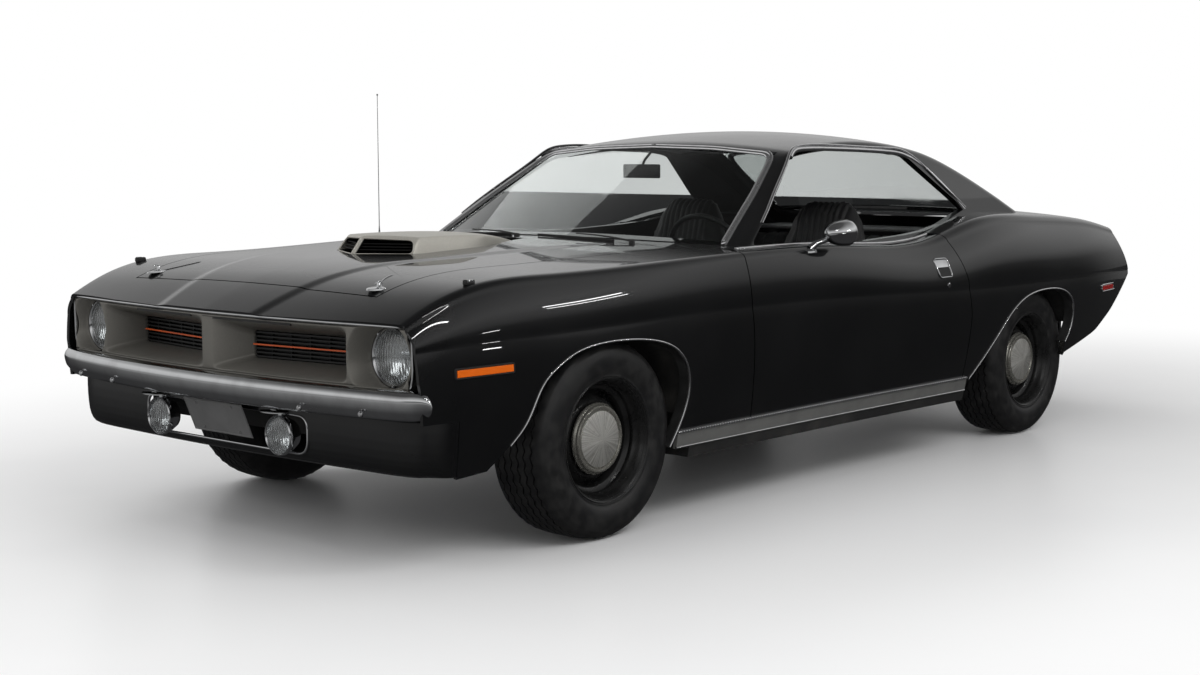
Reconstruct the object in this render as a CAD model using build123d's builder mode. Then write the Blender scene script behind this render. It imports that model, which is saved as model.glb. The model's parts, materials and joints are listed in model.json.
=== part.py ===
# Two-door muscle car: unibody with bolt-on fenders, hood, doors and deck lid on hinges,
# steered front wheels and a live rear axle. Millimetres. X forward, Y to the car's left, Z up;
# the origin is on the floor under the middle of the car.
from build123d import *
from collections import namedtuple
from math import asin, cos, sin
import os

os.makedirs("parts", exist_ok=True)

# ---- Driving dimensions ----
FRONT_AXLE_X = 1431
REAR_AXLE_X = -1312
FRONT_TRACK_Y = 758        # wheel centre plane from the middle, front
REAR_TRACK_Y = 771
TYRE_R = 318
TYRE_W = 236
RIM_R = 190.5              # 15 inch rim
HUB_Z = TYRE_R
ROOF_Z = 1293
WALL = 30                  # quarter and cowl walls with their inner panels
FENDER_WALL = 20
DOOR_WALL = 105            # a whole door, skin and trim
LID = 28                   # hood and deck lid
ROOF_WALL = 38
GAP = 5                    # shut lines

DOOR_FRONT_X = 735
DOOR_REAR_X = -655
DOOR_LOW_Z = 306
HOOD_FRONT_X = 2146
HOOD_REAR_X = 868
HOOD_FRONT_Y = 600
HOOD_REAR_Y = 672
DECK_FRONT_X = -1560
DECK_REAR_X = -2218
DECK_HALF_Y = 640
PLATE_W, PLATE_H = 304, 152
PLATE_HOLES_Y, PLATE_HOLES_Z, PLATE_HOLE_R = 178, 121, 3.5
NOSE_X = 2316              # middle of the leading edge of the nose panel
NOSE_CORNER_X = 2250
NOSE_CORNER_Y = 845

SIDE_PLANE = Plane.XZ      # side views are drawn as (x, z); its normal is -Y


def cross_plane(x):
    """A plane across the car at x, drawn as (y, z)."""
    return Plane(origin=(x, 0, 0), x_dir=(0, 1, 0), z_dir=(1, 0, 0))


# ---- Body sections, one row for each station along the car ----
# low: the sill edge; mid: widest of the lower side; crease: the side crease;
# bulge: the upper side; peak: the top corner of the side; centre_z: the crown on the middle line
Station = namedtuple("Station", "x low_y mid_y crease_y crease_z bulge_y peak_y peak_z edge_y edge_z centre_z")
STATIONS = [
    Station(2340, 835, 868, 850, 660, 846, 828, 676, 800, 696, 728),
    Station(2125, 858, 890, 882, 675, 874, 848, 778, 815, 802, 818),
    Station(1650, 872, 914, 905, 684, 896, 868, 832, 828, 856, 882),
    Station(1100, 874, 914, 908, 693, 901, 880, 844, 840, 868, 902),
    Station(720, 874, 913, 908, 694, 901, 882, 850, 848, 877, 905),
    Station(100, 878, 922, 918, 688, 911, 884, 846, 846, 872, 900),
    Station(-500, 892, 944, 944, 670, 930, 888, 840, 846, 868, 905),
    Station(-900, 905, 951, 949, 663, 938, 880, 900, 838, 936, 946),
    Station(-1400, 900, 948, 945, 659, 930, 872, 902, 832, 936, 962),
    Station(-1900, 870, 912, 910, 653, 892, 845, 872, 808, 902, 940),
    Station(-2400, 800, 838, 832, 643, 822, 790, 800, 760, 826, 880),
]
SILL_Z = 244


def body_solid(inset):
    """The closed left half of the body below the windows, its walls moved inwards by inset."""
    with BuildPart() as body:
        for s in STATIONS:
            low_z = SILL_Z - 60 + inset
            low = (s.low_y - inset, low_z)
            mid = (s.mid_y - inset, (low_z + s.crease_z) / 2 + 40)
            crease = (s.crease_y - inset, s.crease_z)
            bulge = (s.bulge_y - inset, (s.crease_z + s.peak_z) / 2)
            peak = (s.peak_y - inset, s.peak_z - inset / 2)
            edge = (s.edge_y - inset, s.edge_z - inset)
            corner = ((peak[0] + edge[0]) / 2 + 6, (peak[1] + edge[1]) / 2 + 5)
            crown = (edge[0] * 0.6, edge[1] + 0.67 * (s.centre_z - s.edge_z))
            with BuildSketch(cross_plane(s.x)):
                with BuildLine():
                    Line((0, low_z), low)
                    ThreePointArc(low, mid, crease)
                    ThreePointArc(crease, bulge, peak)
                    ThreePointArc(peak, corner, edge)
                    ThreePointArc(edge, crown, (0, s.centre_z - inset))
                    Line((0, s.centre_z - inset), (0, low_z))
                make_face()
        loft()
    return body.part


def side_prism(outline, y_from=-1200, y_to=1200):
    """A prism across the car with the given side view, a closed list of (x, z)."""
    with BuildPart() as prism:
        with BuildSketch(SIDE_PLANE.offset(-y_from)):
            with BuildLine():
                Polyline(*outline, close=True)
            make_face()
        extrude(amount=-(y_to - y_from))
    return prism.part


def plan_prism(outline, z_from=0, z_to=1500):
    """A standing prism with the given plan, a closed list of (x, y)."""
    with BuildPart() as prism:
        with BuildSketch(Plane.XY.offset(z_from)):
            with BuildLine():
                Polyline(*outline, close=True)
            make_face()
        extrude(amount=z_to - z_from)
    return prism.part


def box_between(x0, x1, y0, y1, z0, z1):
    """A box by its corners."""
    with BuildPart() as block:
        with Locations(((x0 + x1) / 2, (y0 + y1) / 2, (z0 + z1) / 2)):
            Box(abs(x1 - x0), abs(y1 - y0), abs(z1 - z0))
    return block.part


# ---- Greenhouse: rows of a flat section at height z ----
# front_mid_x, front_x, front_y: the windshield's middle and corner; rear likewise
Deck = namedtuple("Deck", "z front_mid_x front_x front_y rear_x rear_y rear_mid_x")
GLASS_ROWS = [
    Deck(840, 916, 662, 806, -1750, 735, -1840),
    Deck(1010, 590, 412, 734, -1368, 692, -1455),
    Deck(1330, -32, -70, 560, -640, 575, -725),
]
# Roof crown across the car, one row for each station
Crown = namedtuple("Crown", "x centre_z edge_z")
CROWN_ROWS = [
    Crown(960, 1080, 1024),
    Crown(420, 1196, 1140),
    Crown(110, 1249, 1204),
    Crown(-274, ROOF_Z - 2, 1243),
    Crown(-700, 1277, 1224),
    Crown(-1050, 1214, 1158),
    Crown(-1750, 1010, 960),
]
CROWN_EDGE_Y = 630


def greenhouse(inset):
    """The closed left half of the cabin above the belt, its sides moved inwards by inset."""
    with BuildPart() as cabin:
        for d in GLASS_ROWS:
            front_mid, front = d.front_mid_x - 1.8 * inset, d.front_x - inset
            rear_mid, rear = d.rear_mid_x + 2.5 * inset, d.rear_x + 2.5 * inset
            front_y, rear_y = d.front_y - inset, d.rear_y - inset
            with BuildSketch(Plane.XY.offset(d.z)):
                with BuildLine():
                    ThreePointArc((front_mid, 0), (0.75 * front_mid + 0.25 * front, front_y / 2),
                                  (front, front_y))
                    Line((front, front_y), (rear, rear_y))
                    ThreePointArc((rear, rear_y), (0.75 * rear_mid + 0.25 * rear, rear_y / 2),
                                  (rear_mid, 0))
                    Line((rear_mid, 0), (front_mid, 0))
                make_face()
        loft(ruled=True)
    with BuildPart() as crown:
        for c in CROWN_ROWS:
            edge = c.edge_z - inset
            top = c.centre_z - inset
            with BuildSketch(cross_plane(c.x)):
                with BuildLine():
                    ThreePointArc((0, top), (CROWN_EDGE_Y / 2, edge + 0.75 * (top - edge)),
                                  (CROWN_EDGE_Y, edge))
                    Line((CROWN_EDGE_Y, edge), (900, edge - 330))
                    Line((900, edge - 330), (900, 500))
                    Line((900, 500), (0, 500))
                    Line((0, 500), (0, top))
                make_face()
        loft()
    with BuildPart() as both:
        add(cabin.part)
        add(crown.part, mode=Mode.INTERSECT)
    return both.part


def finish(part, name):
    """Name a finished piece and write it."""
    part.label = name
    export_step(part, f"parts/{name}.step")
    print(name, round(part.volume / 1e6, 2), "litres")


OUTER = body_solid(0)
PROUD = body_solid(-4)
INNER = body_solid(WALL)
FENDER_INNER = body_solid(FENDER_WALL)
DOOR_INNER = body_solid(DOOR_WALL)
LID_INNER = body_solid(LID)
CABIN_OUT = greenhouse(0)
CABIN_IN = greenhouse(ROOF_WALL)
GLASS_OUT = greenhouse(8)
GLASS_IN = greenhouse(14)

# ---- Side view outlines, (x, z) ----
ARCH_F = [(1150, 262), (1100, 360), (1078, 450), (1096, 530), (1150, 585), (1232, 617), (1358, 635),
          (1522, 636), (1640, 616), (1720, 580), (1775, 540), (1840, 432), (1905, 366), (1990, 300)]
ARCH_R = [(-720, 300), (-830, 396), (-912, 469), (-994, 538), (-1100, 594), (-1211, 620), (-1325, 627),
          (-1442, 621), (-1530, 598), (-1585, 556), (-1598, 499), (-1585, 440), (-1545, 380)]
SIDE_WINDOW = [(560, 885), (545, 905), (120, 1192), (85, 1212), (20, 1222), (-177, 1222), (-560, 1210),
               (-690, 1196), (-1032, 968), (-800, 912), (-660, 893), (-500, 882), (-200, 872), (240, 872)]


def arch_cut(points, floor_z=150):
    """The wheel opening as a prism through both sides, down past the sill."""
    return side_prism([(points[0][0], floor_z), *points, (points[-1][0], floor_z)])


ARCH_FRONT = arch_cut(ARCH_F)
ARCH_REAR = arch_cut(ARCH_R)

# All that is kept of the body shell: nose, tail and lower edges
SHELL_SIDE = side_prism([
    (2242, 560), (2256, 640), (2262, 700), (2330, 735), (2330, 1000), (-2190, 1000), (-2235, 858),
    (-2371, 655), (-2366, 630), (-2225, 560), (-2074, 480), (-1885, 400), (-1545, 330),
    (-1545, 306), (1150, 306), (1150, 262), (1990, 300), (2120, 290), (2225, 330),
])
NOSE_PLAN = plan_prism([(-2500, -1000), (NOSE_CORNER_X - 20, -1000), (NOSE_CORNER_X, -NOSE_CORNER_Y),
                        (2288, -520), (2309, -250), (NOSE_X, 0), (2309, 250), (2288, 520),
                        (NOSE_CORNER_X, NOSE_CORNER_Y), (NOSE_CORNER_X - 20, 1000), (-2500, 1000)])
# What the fenders leave free between them: hood, cowl and the nose panel
BETWEEN_FENDERS = plan_prism([(2400, HOOD_FRONT_Y), (HOOD_FRONT_X, HOOD_FRONT_Y), (HOOD_REAR_X, HOOD_REAR_Y),
                              (HOOD_REAR_X - GAP, HOOD_REAR_Y), (HOOD_REAR_X - GAP, 740), (700, 765),
                              (700, 0), (2400, 0)], 150)

# ---- Fenders ----
DOOR_FRONT_LINE = [(DOOR_FRONT_X - 18, DOOR_LOW_Z), (DOOR_FRONT_X, 900), (DOOR_FRONT_X, 1000)]
FENDER_SIDE = side_prism([(x + GAP, z) for x, z in DOOR_FRONT_LINE]
                         + [(2400, 1000), (2400, 100), (DOOR_FRONT_X - 18 + GAP, 100)], 0, 1200)
with BuildPart() as fender_left:
    add(OUTER)
    add(FENDER_INNER, mode=Mode.SUBTRACT)
    add(SHELL_SIDE, mode=Mode.INTERSECT)
    add(NOSE_PLAN, mode=Mode.INTERSECT)
    add(FENDER_SIDE, mode=Mode.INTERSECT)
    add(BETWEEN_FENDERS, mode=Mode.SUBTRACT)
    add(ARCH_FRONT, mode=Mode.SUBTRACT)
with BuildPart() as fender_right:
    mirror(fender_left.part, about=Plane.XZ)
finish(fender_left.part, "fender_left")
finish(fender_right.part, "fender_right")

# ---- Doors ----
DOOR_REAR_LINE = [(DOOR_REAR_X - 10, DOOR_LOW_Z), (DOOR_REAR_X - 30, 560), (DOOR_REAR_X - 10, 700),
                  (DOOR_REAR_X + 55, 860), (DOOR_REAR_X + 75, 1000)]
DOOR_INNER_Y = 794
DOOR_SIDE = side_prism([*reversed(DOOR_FRONT_LINE), *DOOR_REAR_LINE], 0, 1200)
DOOR_JAMB = side_prism([(-900, DOOR_LOW_Z - 10), (-900, 1000)]
                       + [(x + 24, z) for x, z in reversed(DOOR_REAR_LINE)] + [(DOOR_REAR_X + 14, 290)],
                       DOOR_INNER_Y - 50, 892)
with BuildPart() as door_left:
    add(OUTER)
    add(DOOR_INNER, mode=Mode.SUBTRACT)
    add(DOOR_SIDE, mode=Mode.INTERSECT)
    add(box_between(-800, 800, DOOR_INNER_Y, 1000, 0, 1000), mode=Mode.INTERSECT)
    add(DOOR_JAMB, mode=Mode.SUBTRACT)
with BuildPart() as door_right:
    mirror(door_left.part, about=Plane.XZ)
finish(door_left.part, "door_left")
finish(door_right.part, "door_right")

# Mirror and flush handle on the left door, handle alone on the right
HANDLE_X, HANDLE_Z, HANDLE_W, HANDLE_H = -487, 766, 96, 88
HANDLE_SIDE = side_prism([(HANDLE_X - HANDLE_W / 2, HANDLE_Z - HANDLE_H / 2),
                          (HANDLE_X + HANDLE_W / 2, HANDLE_Z - HANDLE_H / 2),
                          (HANDLE_X + HANDLE_W / 2, HANDLE_Z + HANDLE_H / 2),
                          (HANDLE_X - HANDLE_W / 2, HANDLE_Z + HANDLE_H / 2)], 700, 1200)
MIRROR_BASE = (336, 868, 868)
MIRROR_HEAD = (236, 925, 922)
with BuildPart() as handle_left:
    add(PROUD)
    add(OUTER, mode=Mode.SUBTRACT)
    add(HANDLE_SIDE, mode=Mode.INTERSECT)
with BuildPart() as handle_right:
    mirror(handle_left.part, about=Plane.XZ)
with BuildPart() as mirror_left:
    with BuildLine():
        stalk = Line(MIRROR_BASE, MIRROR_HEAD)
    with BuildSketch(Plane(origin=MIRROR_BASE, z_dir=stalk % 0)):
        Circle(11)
    sweep()
    with BuildSketch(Plane.YZ.offset(MIRROR_HEAD[0] - 55)):
        with Locations((MIRROR_HEAD[1], MIRROR_HEAD[2])):
            Circle(58)
    with BuildSketch(Plane.YZ.offset(MIRROR_HEAD[0])):
        with Locations((MIRROR_HEAD[1], MIRROR_HEAD[2])):
            Circle(50)
    with BuildSketch(Plane.YZ.offset(MIRROR_HEAD[0] + 66)):
        with Locations((MIRROR_HEAD[1], MIRROR_HEAD[2])):
            Circle(14)
    loft(ruled=True)
with BuildPart() as door_left_fittings:
    add(handle_left.part)
    add(mirror_left.part)
    add(door_left.part, mode=Mode.SUBTRACT)
finish(door_left_fittings.part, "door_left_fittings")
finish(handle_right.part, "door_right_fittings")

# ---- Quarter panels ----
QUARTER_SIDE = side_prism([(DOOR_REAR_X - 10 - GAP, 306)] + [(x - GAP, z) for x, z in DOOR_REAR_LINE[1:]]
                          + [(-2500, 1000), (-2500, 306)], 0, 1200)
QUARTER_INNER = plan_prism([(-500, 0), (-500, 795), (-1060, 722), (-1400, 684), (-1545, 666),
                            (DECK_FRONT_X + GAP, DECK_HALF_Y + GAP), (DECK_REAR_X - GAP, DECK_HALF_Y + GAP),
                            (-2225, 700), (-2450, 700), (-2450, 0)], 150)
with BuildPart() as quarter_left:
    add(OUTER)
    add(INNER, mode=Mode.SUBTRACT)
    add(SHELL_SIDE, mode=Mode.INTERSECT)
    add(QUARTER_SIDE, mode=Mode.INTERSECT)
    add(QUARTER_INNER, mode=Mode.SUBTRACT)
    add(ARCH_REAR, mode=Mode.SUBTRACT)
with BuildPart() as quarter_right:
    mirror(quarter_left.part, about=Plane.XZ)
finish(quarter_left.part, "quarter_left")
finish(quarter_right.part, "quarter_right")

# ---- Hood, nose panel, cowl ----
SCOOP_PLAN = [(1700, 176), (1640, 198), (1306, 200), (961, 44)]   # (x, half width) of the shaker
SCOOP_GAP = 9
HOLE = [(x + (SCOOP_GAP if x > 1650 else 0), w + SCOOP_GAP) for x, w in SCOOP_PLAN[:-1]]
HOLE += [(SCOOP_PLAN[-1][0] - SCOOP_GAP, SCOOP_PLAN[-1][1] + SCOOP_GAP)]
SCOOP_HOLE = plan_prism(HOLE + [(x, -w) for x, w in reversed(HOLE)])
HOOD_PLAN = plan_prism([(HOOD_FRONT_X, 0), (HOOD_FRONT_X, HOOD_FRONT_Y - GAP),
                        (HOOD_REAR_X, HOOD_REAR_Y - GAP), (HOOD_REAR_X, 0)])
with BuildPart() as hood_half:
    add(OUTER)
    add(LID_INNER, mode=Mode.SUBTRACT)
    add(HOOD_PLAN, mode=Mode.INTERSECT)
    add(box_between(800, 2200, -10, 1000, 600, 1000), mode=Mode.INTERSECT)
    add(SCOOP_HOLE, mode=Mode.SUBTRACT)
with BuildPart() as hood:
    add(hood_half.part)
    mirror(hood_half.part, about=Plane.XZ)
finish(hood.part, "hood")

with BuildPart() as nose_half:
    add(OUTER)
    add(LID_INNER, mode=Mode.SUBTRACT)
    add(NOSE_PLAN, mode=Mode.INTERSECT)
    add(box_between(HOOD_FRONT_X + GAP, 2330, 0, HOOD_FRONT_Y, 700, 1000), mode=Mode.INTERSECT)
with BuildPart() as nose_panel:
    add(nose_half.part)
    mirror(nose_half.part, about=Plane.XZ)
finish(nose_panel.part, "nose_panel")

COWL_PLAN = plan_prism([(HOOD_REAR_X - GAP, 0), (HOOD_REAR_X - GAP, 740), (700, 765), (520, 765), (520, 0)])
with BuildPart() as cowl_half:
    add(OUTER)
    add(INNER, mode=Mode.SUBTRACT)
    add(COWL_PLAN, mode=Mode.INTERSECT)
    add(box_between(400, 1000, 0, 1000, 700, 1000), mode=Mode.INTERSECT)
    add(CABIN_IN, mode=Mode.SUBTRACT)
with BuildPart() as cowl:
    add(cowl_half.part)
    mirror(cowl_half.part, about=Plane.XZ)
finish(cowl.part, "cowl")

# ---- Deck lid ----
with BuildPart() as deck_half:
    add(OUTER)
    add(LID_INNER, mode=Mode.SUBTRACT)
    add(box_between(DECK_FRONT_X, DECK_REAR_X, 0, DECK_HALF_Y, 700, 1100), mode=Mode.INTERSECT)
with BuildPart() as decklid:
    add(deck_half.part)
    mirror(deck_half.part, about=Plane.XZ)
finish(decklid.part, "decklid")

# ---- Roof with its pillars, and the glass ----
# Glass openings seen along the car, (y, z) of the left half
WINDSHIELD_VIEW = [(0, 850), (702, 850), (702, 900), (640, 1060), (566, 1206), (300, 1229), (0, 1237)]
BACKLIGHT_VIEW = [(0, 900), (600, 900), (596, 985), (490, 1196), (0, 1226)]


def end_prism(outline, x_from, x_to):
    """A prism along the car with the given view from its end, a closed list of (y, z)."""
    with BuildPart() as prism:
        with BuildSketch(cross_plane(x_from)):
            with BuildLine():
                Polyline(*outline, close=True)
            make_face()
        extrude(amount=x_to - x_from)
    return prism.part


WINDSHIELD_CUT = end_prism(WINDSHIELD_VIEW, 60, 1000)
BACKLIGHT_CUT = end_prism(BACKLIGHT_VIEW, -1900, -740)
with BuildPart() as roof_half:
    add(CABIN_OUT)
    add(CABIN_IN, mode=Mode.SUBTRACT)
    add(OUTER, mode=Mode.SUBTRACT)
    add(side_prism(SIDE_WINDOW, 300, 1200), mode=Mode.SUBTRACT)
    add(WINDSHIELD_CUT, mode=Mode.SUBTRACT)
    add(BACKLIGHT_CUT, mode=Mode.SUBTRACT)
with BuildPart() as tulip_half:        # the strip between the rear window and the deck lid
    add(OUTER)
    add(LID_INNER, mode=Mode.SUBTRACT)
    add(box_between(DECK_FRONT_X + GAP, -1400, 0, 662, 850, 1100), mode=Mode.INTERSECT)
    add(CABIN_IN, mode=Mode.SUBTRACT)
    add(QUARTER_INNER, mode=Mode.INTERSECT)
with BuildPart() as roof:
    add(roof_half.part)
    add(tulip_half.part)
    mirror(roof_half.part, about=Plane.XZ)
    mirror(tulip_half.part, about=Plane.XZ)
finish(roof.part, "roof")

for name, cut in (("windshield", WINDSHIELD_CUT), ("rear_window", BACKLIGHT_CUT)):
    with BuildPart() as half:
        add(GLASS_OUT)
        add(GLASS_IN, mode=Mode.SUBTRACT)
        add(OUTER, mode=Mode.SUBTRACT)
        add(cut, mode=Mode.INTERSECT)
    with BuildPart() as glass:
        add(half.part)
        mirror(half.part, about=Plane.XZ)
    finish(glass.part, name)

# ---- Floor, sills, firewall, rails, wheel aprons and radiator wall ----
RAIL_Y, RAIL_W = 420, 80
APRON_Y = 468
FIREWALL_X = 805
with BuildPart() as sill_left:
    add(OUTER)
    add(box_between(-700, 1050, 720, 1000, 215, 300), mode=Mode.INTERSECT)
    add(ARCH_REAR, mode=Mode.SUBTRACT)
FLOOR_REAR_X = -920
TUNNEL_Y, TUNNEL_Z = 105, 380
TRUNK_Z = 428
with BuildPart() as floor_pan:
    add(sill_left.part)
    mirror(sill_left.part, about=Plane.XZ)
    add(box_between(FIREWALL_X, FLOOR_REAR_X, -722, 722, 225, 245))
    add(box_between(FIREWALL_X - 12, FIREWALL_X + 12, -735, 735, 225, 822))
    add(box_between(FIREWALL_X, FLOOR_REAR_X, -TUNNEL_Y, TUNNEL_Y, 240, TUNNEL_Z))
    add(box_between(FLOOR_REAR_X, FLOOR_REAR_X - 18, -600, 600, 225, TRUNK_Z + 18))
    add(box_between(FLOOR_REAR_X, -2220, -600, 600, TRUNK_Z, TRUNK_Z + 18))
    add(box_between(FIREWALL_X + 40, FLOOR_REAR_X - 40, 18 - TUNNEL_Y, TUNNEL_Y - 18, 200, TUNNEL_Z - 18),
        mode=Mode.SUBTRACT)
    for side in (-1, 1):
        add(box_between(FIREWALL_X, 2100, side * RAIL_Y - RAIL_W / 2, side * RAIL_Y + RAIL_W / 2, 350, 430))
        add(box_between(FIREWALL_X, 2080, side * APRON_Y - 8, side * APRON_Y + 8, 400, 770))
        add(box_between(-960, -2200, side * 540 - 30, side * 540 + 30, 372, TRUNK_Z))
    add(box_between(2070, 2096, -600, 600, 350, 700))
finish(floor_pan.part, "floor_pan")

# ---- Grille surround with its two mouths and the headlamp bores ----
GRILLE_LOW_Z, GRILLE_TOP_Z = 552, 731
MOUTH_FRONT = (22, 606, 562, 724)      # y from, y to, z from, z to at the front, x = MOUTH_FRONT_X
MOUTH_BACK = (107, 538, 592, 678)
MOUTH_FRONT_X = 2330
INSERT_IN_X, INSERT_OUT_X = 2211, 2155  # the inserts are swept back: x at their inner and outer ends
LAMP_Y, LAMP_Z, LAMP_R = 714, 640, 82


def mouth(side):
    """One grille mouth, open through to the back, side 1 on the left."""
    y0, y1, z0, z1 = MOUTH_BACK
    back = Plane(origin=((INSERT_IN_X + INSERT_OUT_X) / 2, side * (y0 + y1) / 2, (z0 + z1) / 2),
                 x_dir=(INSERT_OUT_X - INSERT_IN_X, side * (y1 - y0), 0),
                 z_dir=(y1 - y0, side * (INSERT_IN_X - INSERT_OUT_X), 0))
    width = ((y1 - y0) ** 2 + (INSERT_IN_X - INSERT_OUT_X) ** 2) ** 0.5
    with BuildPart() as hole:
        with BuildSketch(back):
            Rectangle(width, z1 - z0)
        with BuildSketch(cross_plane(MOUTH_FRONT_X)):
            f0, f1, g0, g1 = MOUTH_FRONT
            with Locations((side * (f0 + f1) / 2, (g0 + g1) / 2)):
                Rectangle(f1 - f0, g1 - g0)
        loft(ruled=True)
        add(box_between(2140, INSERT_OUT_X + 2, side * y0, side * y1, z0, z1))
        add(plan_prism([(INSERT_IN_X, side * y0), (INSERT_OUT_X, side * y1), (2140, side * y1),
                        (2140, side * y0)], z0, z1))
    return hole.part


with BuildPart() as grille_surround:
    with BuildSketch(Plane.XY.offset(GRILLE_LOW_Z)):
        with BuildLine():
            ThreePointArc((NOSE_CORNER_X - 10, -NOSE_CORNER_Y), (NOSE_X - 6, 0),
                          (NOSE_CORNER_X - 10, NOSE_CORNER_Y))
            Polyline((NOSE_CORNER_X - 10, NOSE_CORNER_Y), (2150, NOSE_CORNER_Y - 10),
                     (2150, 10 - NOSE_CORNER_Y), (NOSE_CORNER_X - 10, -NOSE_CORNER_Y))
        make_face()
    extrude(amount=GRILLE_TOP_Z - GRILLE_LOW_Z)
    for side in (-1, 1):
        add(mouth(side), mode=Mode.SUBTRACT)
        with BuildSketch(cross_plane(2100)):
            with Locations((side * LAMP_Y, LAMP_Z)):
                Circle(LAMP_R + 4)
        extrude(amount=300, mode=Mode.SUBTRACT)
with BuildPart() as surround_half:
    add(grille_surround.part)
    add(FENDER_INNER, mode=Mode.INTERSECT)
    add(LID_INNER, mode=Mode.INTERSECT)
    add(NOSE_PLAN, mode=Mode.INTERSECT)
with BuildPart() as surround_whole:
    add(surround_half.part)
    mirror(surround_half.part, about=Plane.XZ)
finish(surround_whole.part, "grille_surround")

SLATS = 7
with BuildPart() as grille_inserts:
    y0, y1, z0, z1 = MOUTH_BACK
    for side in (-1, 1):
        front = [(INSERT_IN_X - 3, side * (y0 + 1)), (INSERT_OUT_X - 3, side * (y1 - 1))]
        middle = [(x - 22, y) for x, y in reversed(front)]
        back = [(x - 28, y) for x, y in front]
        add(plan_prism([*middle, *back], z0, z1))
        for k in range(SLATS):
            z = z0 + (k + 0.5) * (z1 - z0) / SLATS
            add(plan_prism([*front, *middle], z - 2.5, z + 2.5))
finish(grille_inserts.part, "grille_inserts")


def dome_point(radius, height):
    """Halfway point (along, out) of a spherical dome of that height over a rim of that radius."""
    ball = (radius ** 2 + height ** 2) / (2 * height)
    half = asin(radius / ball) / 2
    return height - ball + ball * cos(half), ball * sin(half)


def round_lamp(x, y, z, radius, depth, dome, neck_r, neck, bowl):
    """A lamp facing forward: a neck, a flare up to bowl, a drum up to depth and a domed lens."""
    along, out = dome_point(radius, dome)
    with BuildPart() as lamp:
        with BuildSketch(Plane.XY):
            with BuildLine():
                Polyline((0, 0), (0, neck_r), (neck, neck_r), (bowl, radius), (depth, radius))
                ThreePointArc((depth, radius), (depth + along, out), (depth + dome, 0))
                Line((depth + dome, 0), (0, 0))
            make_face()
        revolve(axis=Axis.X)
    return lamp.part.moved(Location((x, y, z)))


LAMPS_X = 2176
with BuildPart() as headlamps:
    for side in (-1, 1):
        add(round_lamp(LAMPS_X, side * LAMP_Y, LAMP_Z, LAMP_R + 3, 24, 18, LAMP_R - 20, 4, 10))
finish(headlamps.part, "headlamps")

DRIVING_Y, DRIVING_Z, DRIVING_R = 297, 378, 80
BUMPER_LOW_Z, BUMPER_TOP_Z = 463, 552
with BuildPart() as driving_lamps:
    for side in (-1, 1):
        y = side * DRIVING_Y
        add(round_lamp(2216, y, DRIVING_Z, DRIVING_R, 64, 12, 44, 44, 54))
        add(box_between(2266, 2338, y - 14, y + 14, BUMPER_LOW_Z - 9, BUMPER_LOW_Z))
finish(driving_lamps.part, "driving_lamps")


# ---- Bumpers and valances: curved bars seen from above ----
def curved_bar(middle_x, side_x, side_y, end_x, end_y, depth, z0, z1, rounding=0):
    """A bar across the car: a flat bow, then a round corner; depth is measured along X.

    rounding is the radius along the front edges of the bow."""
    back = -depth if middle_x > 0 else depth
    bend_x, bend_y = (side_x * 0.42 + end_x * 0.58), (end_y + side_y) / 2 + 0.17 * (end_y - side_y)
    with BuildPart() as bar:
        with BuildSketch(Plane.XY.offset(z0)):
            with BuildLine():
                ThreePointArc((side_x, -side_y), (middle_x, 0), (side_x, side_y))
                ThreePointArc((side_x + back, -side_y + 20), (middle_x + back, 0), (side_x + back, side_y - 20))
                for sign in (1, -1):
                    ThreePointArc((side_x, sign * side_y), (bend_x + abs(back) * 0.25 * (1 if back < 0 else -1),
                                                           sign * bend_y), (end_x, sign * end_y))
                    Line((end_x, sign * end_y), (end_x, sign * (end_y - 12)))
                    Line((end_x, sign * (end_y - 12)), (side_x + back, sign * (side_y - 20)))
            make_face()
        extrude(amount=z1 - z0)
        if rounding:
            fillet([edge for edge in bar.edges().filter_by(GeomType.CIRCLE)
                    if abs(edge.center().X - middle_x) < 2], rounding)
    return bar.part


with BuildPart() as front_bumper:
    add(curved_bar(2371, 2290, 812, 2206, 904, 42, BUMPER_LOW_Z, BUMPER_TOP_Z, 24))
    add(fender_left.part, mode=Mode.SUBTRACT)
    add(fender_right.part, mode=Mode.SUBTRACT)
finish(front_bumper.part, "front_bumper")
rear_bumper = curved_bar(-2362, -2322, 640, -2262, 700, 42, 488, 564, 20)
finish(rear_bumper, "rear_bumper")

FRONT_PLATE_X, FRONT_PLATE_Z = 2296, 386
REAR_PLATE_X, REAR_PLATE_Z = -2258, 404
with BuildPart() as plate_holes:
    for x, z in ((FRONT_PLATE_X, FRONT_PLATE_Z), (REAR_PLATE_X, REAR_PLATE_Z)):
        with BuildSketch(cross_plane(x - 40)):
            with Locations((0, z)):
                with GridLocations(PLATE_HOLES_Y, PLATE_HOLES_Z, 2, 2):
                    Circle(PLATE_HOLE_R)
        extrude(amount=80)
PLATE_HOLES = plate_holes.part

VALANCE_OPENING = (400, 328, 442)      # half width, z from, z to
with BuildPart() as front_valance:
    add(curved_bar(2260, 2204, 790, 2190, 840, 22, 300, 461))
    half_w, z0, z1 = VALANCE_OPENING
    add(box_between(2100, 2400, -half_w, half_w, z0, z1), mode=Mode.SUBTRACT)
    for z in (306, 448):
        add(box_between(2245, FRONT_PLATE_X - 1.5, -60, 60, z, z + 12))
    add(PLATE_HOLES, mode=Mode.SUBTRACT)
    add(fender_left.part, mode=Mode.SUBTRACT)
    add(fender_right.part, mode=Mode.SUBTRACT)
finish(front_valance.part, "front_valance")
with BuildPart() as rear_valance:
    add(box_between(-2256, -2234, -560, 560, 326, 486))
    add(PLATE_HOLES, mode=Mode.SUBTRACT)
finish(rear_valance.part, "rear_valance")

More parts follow.
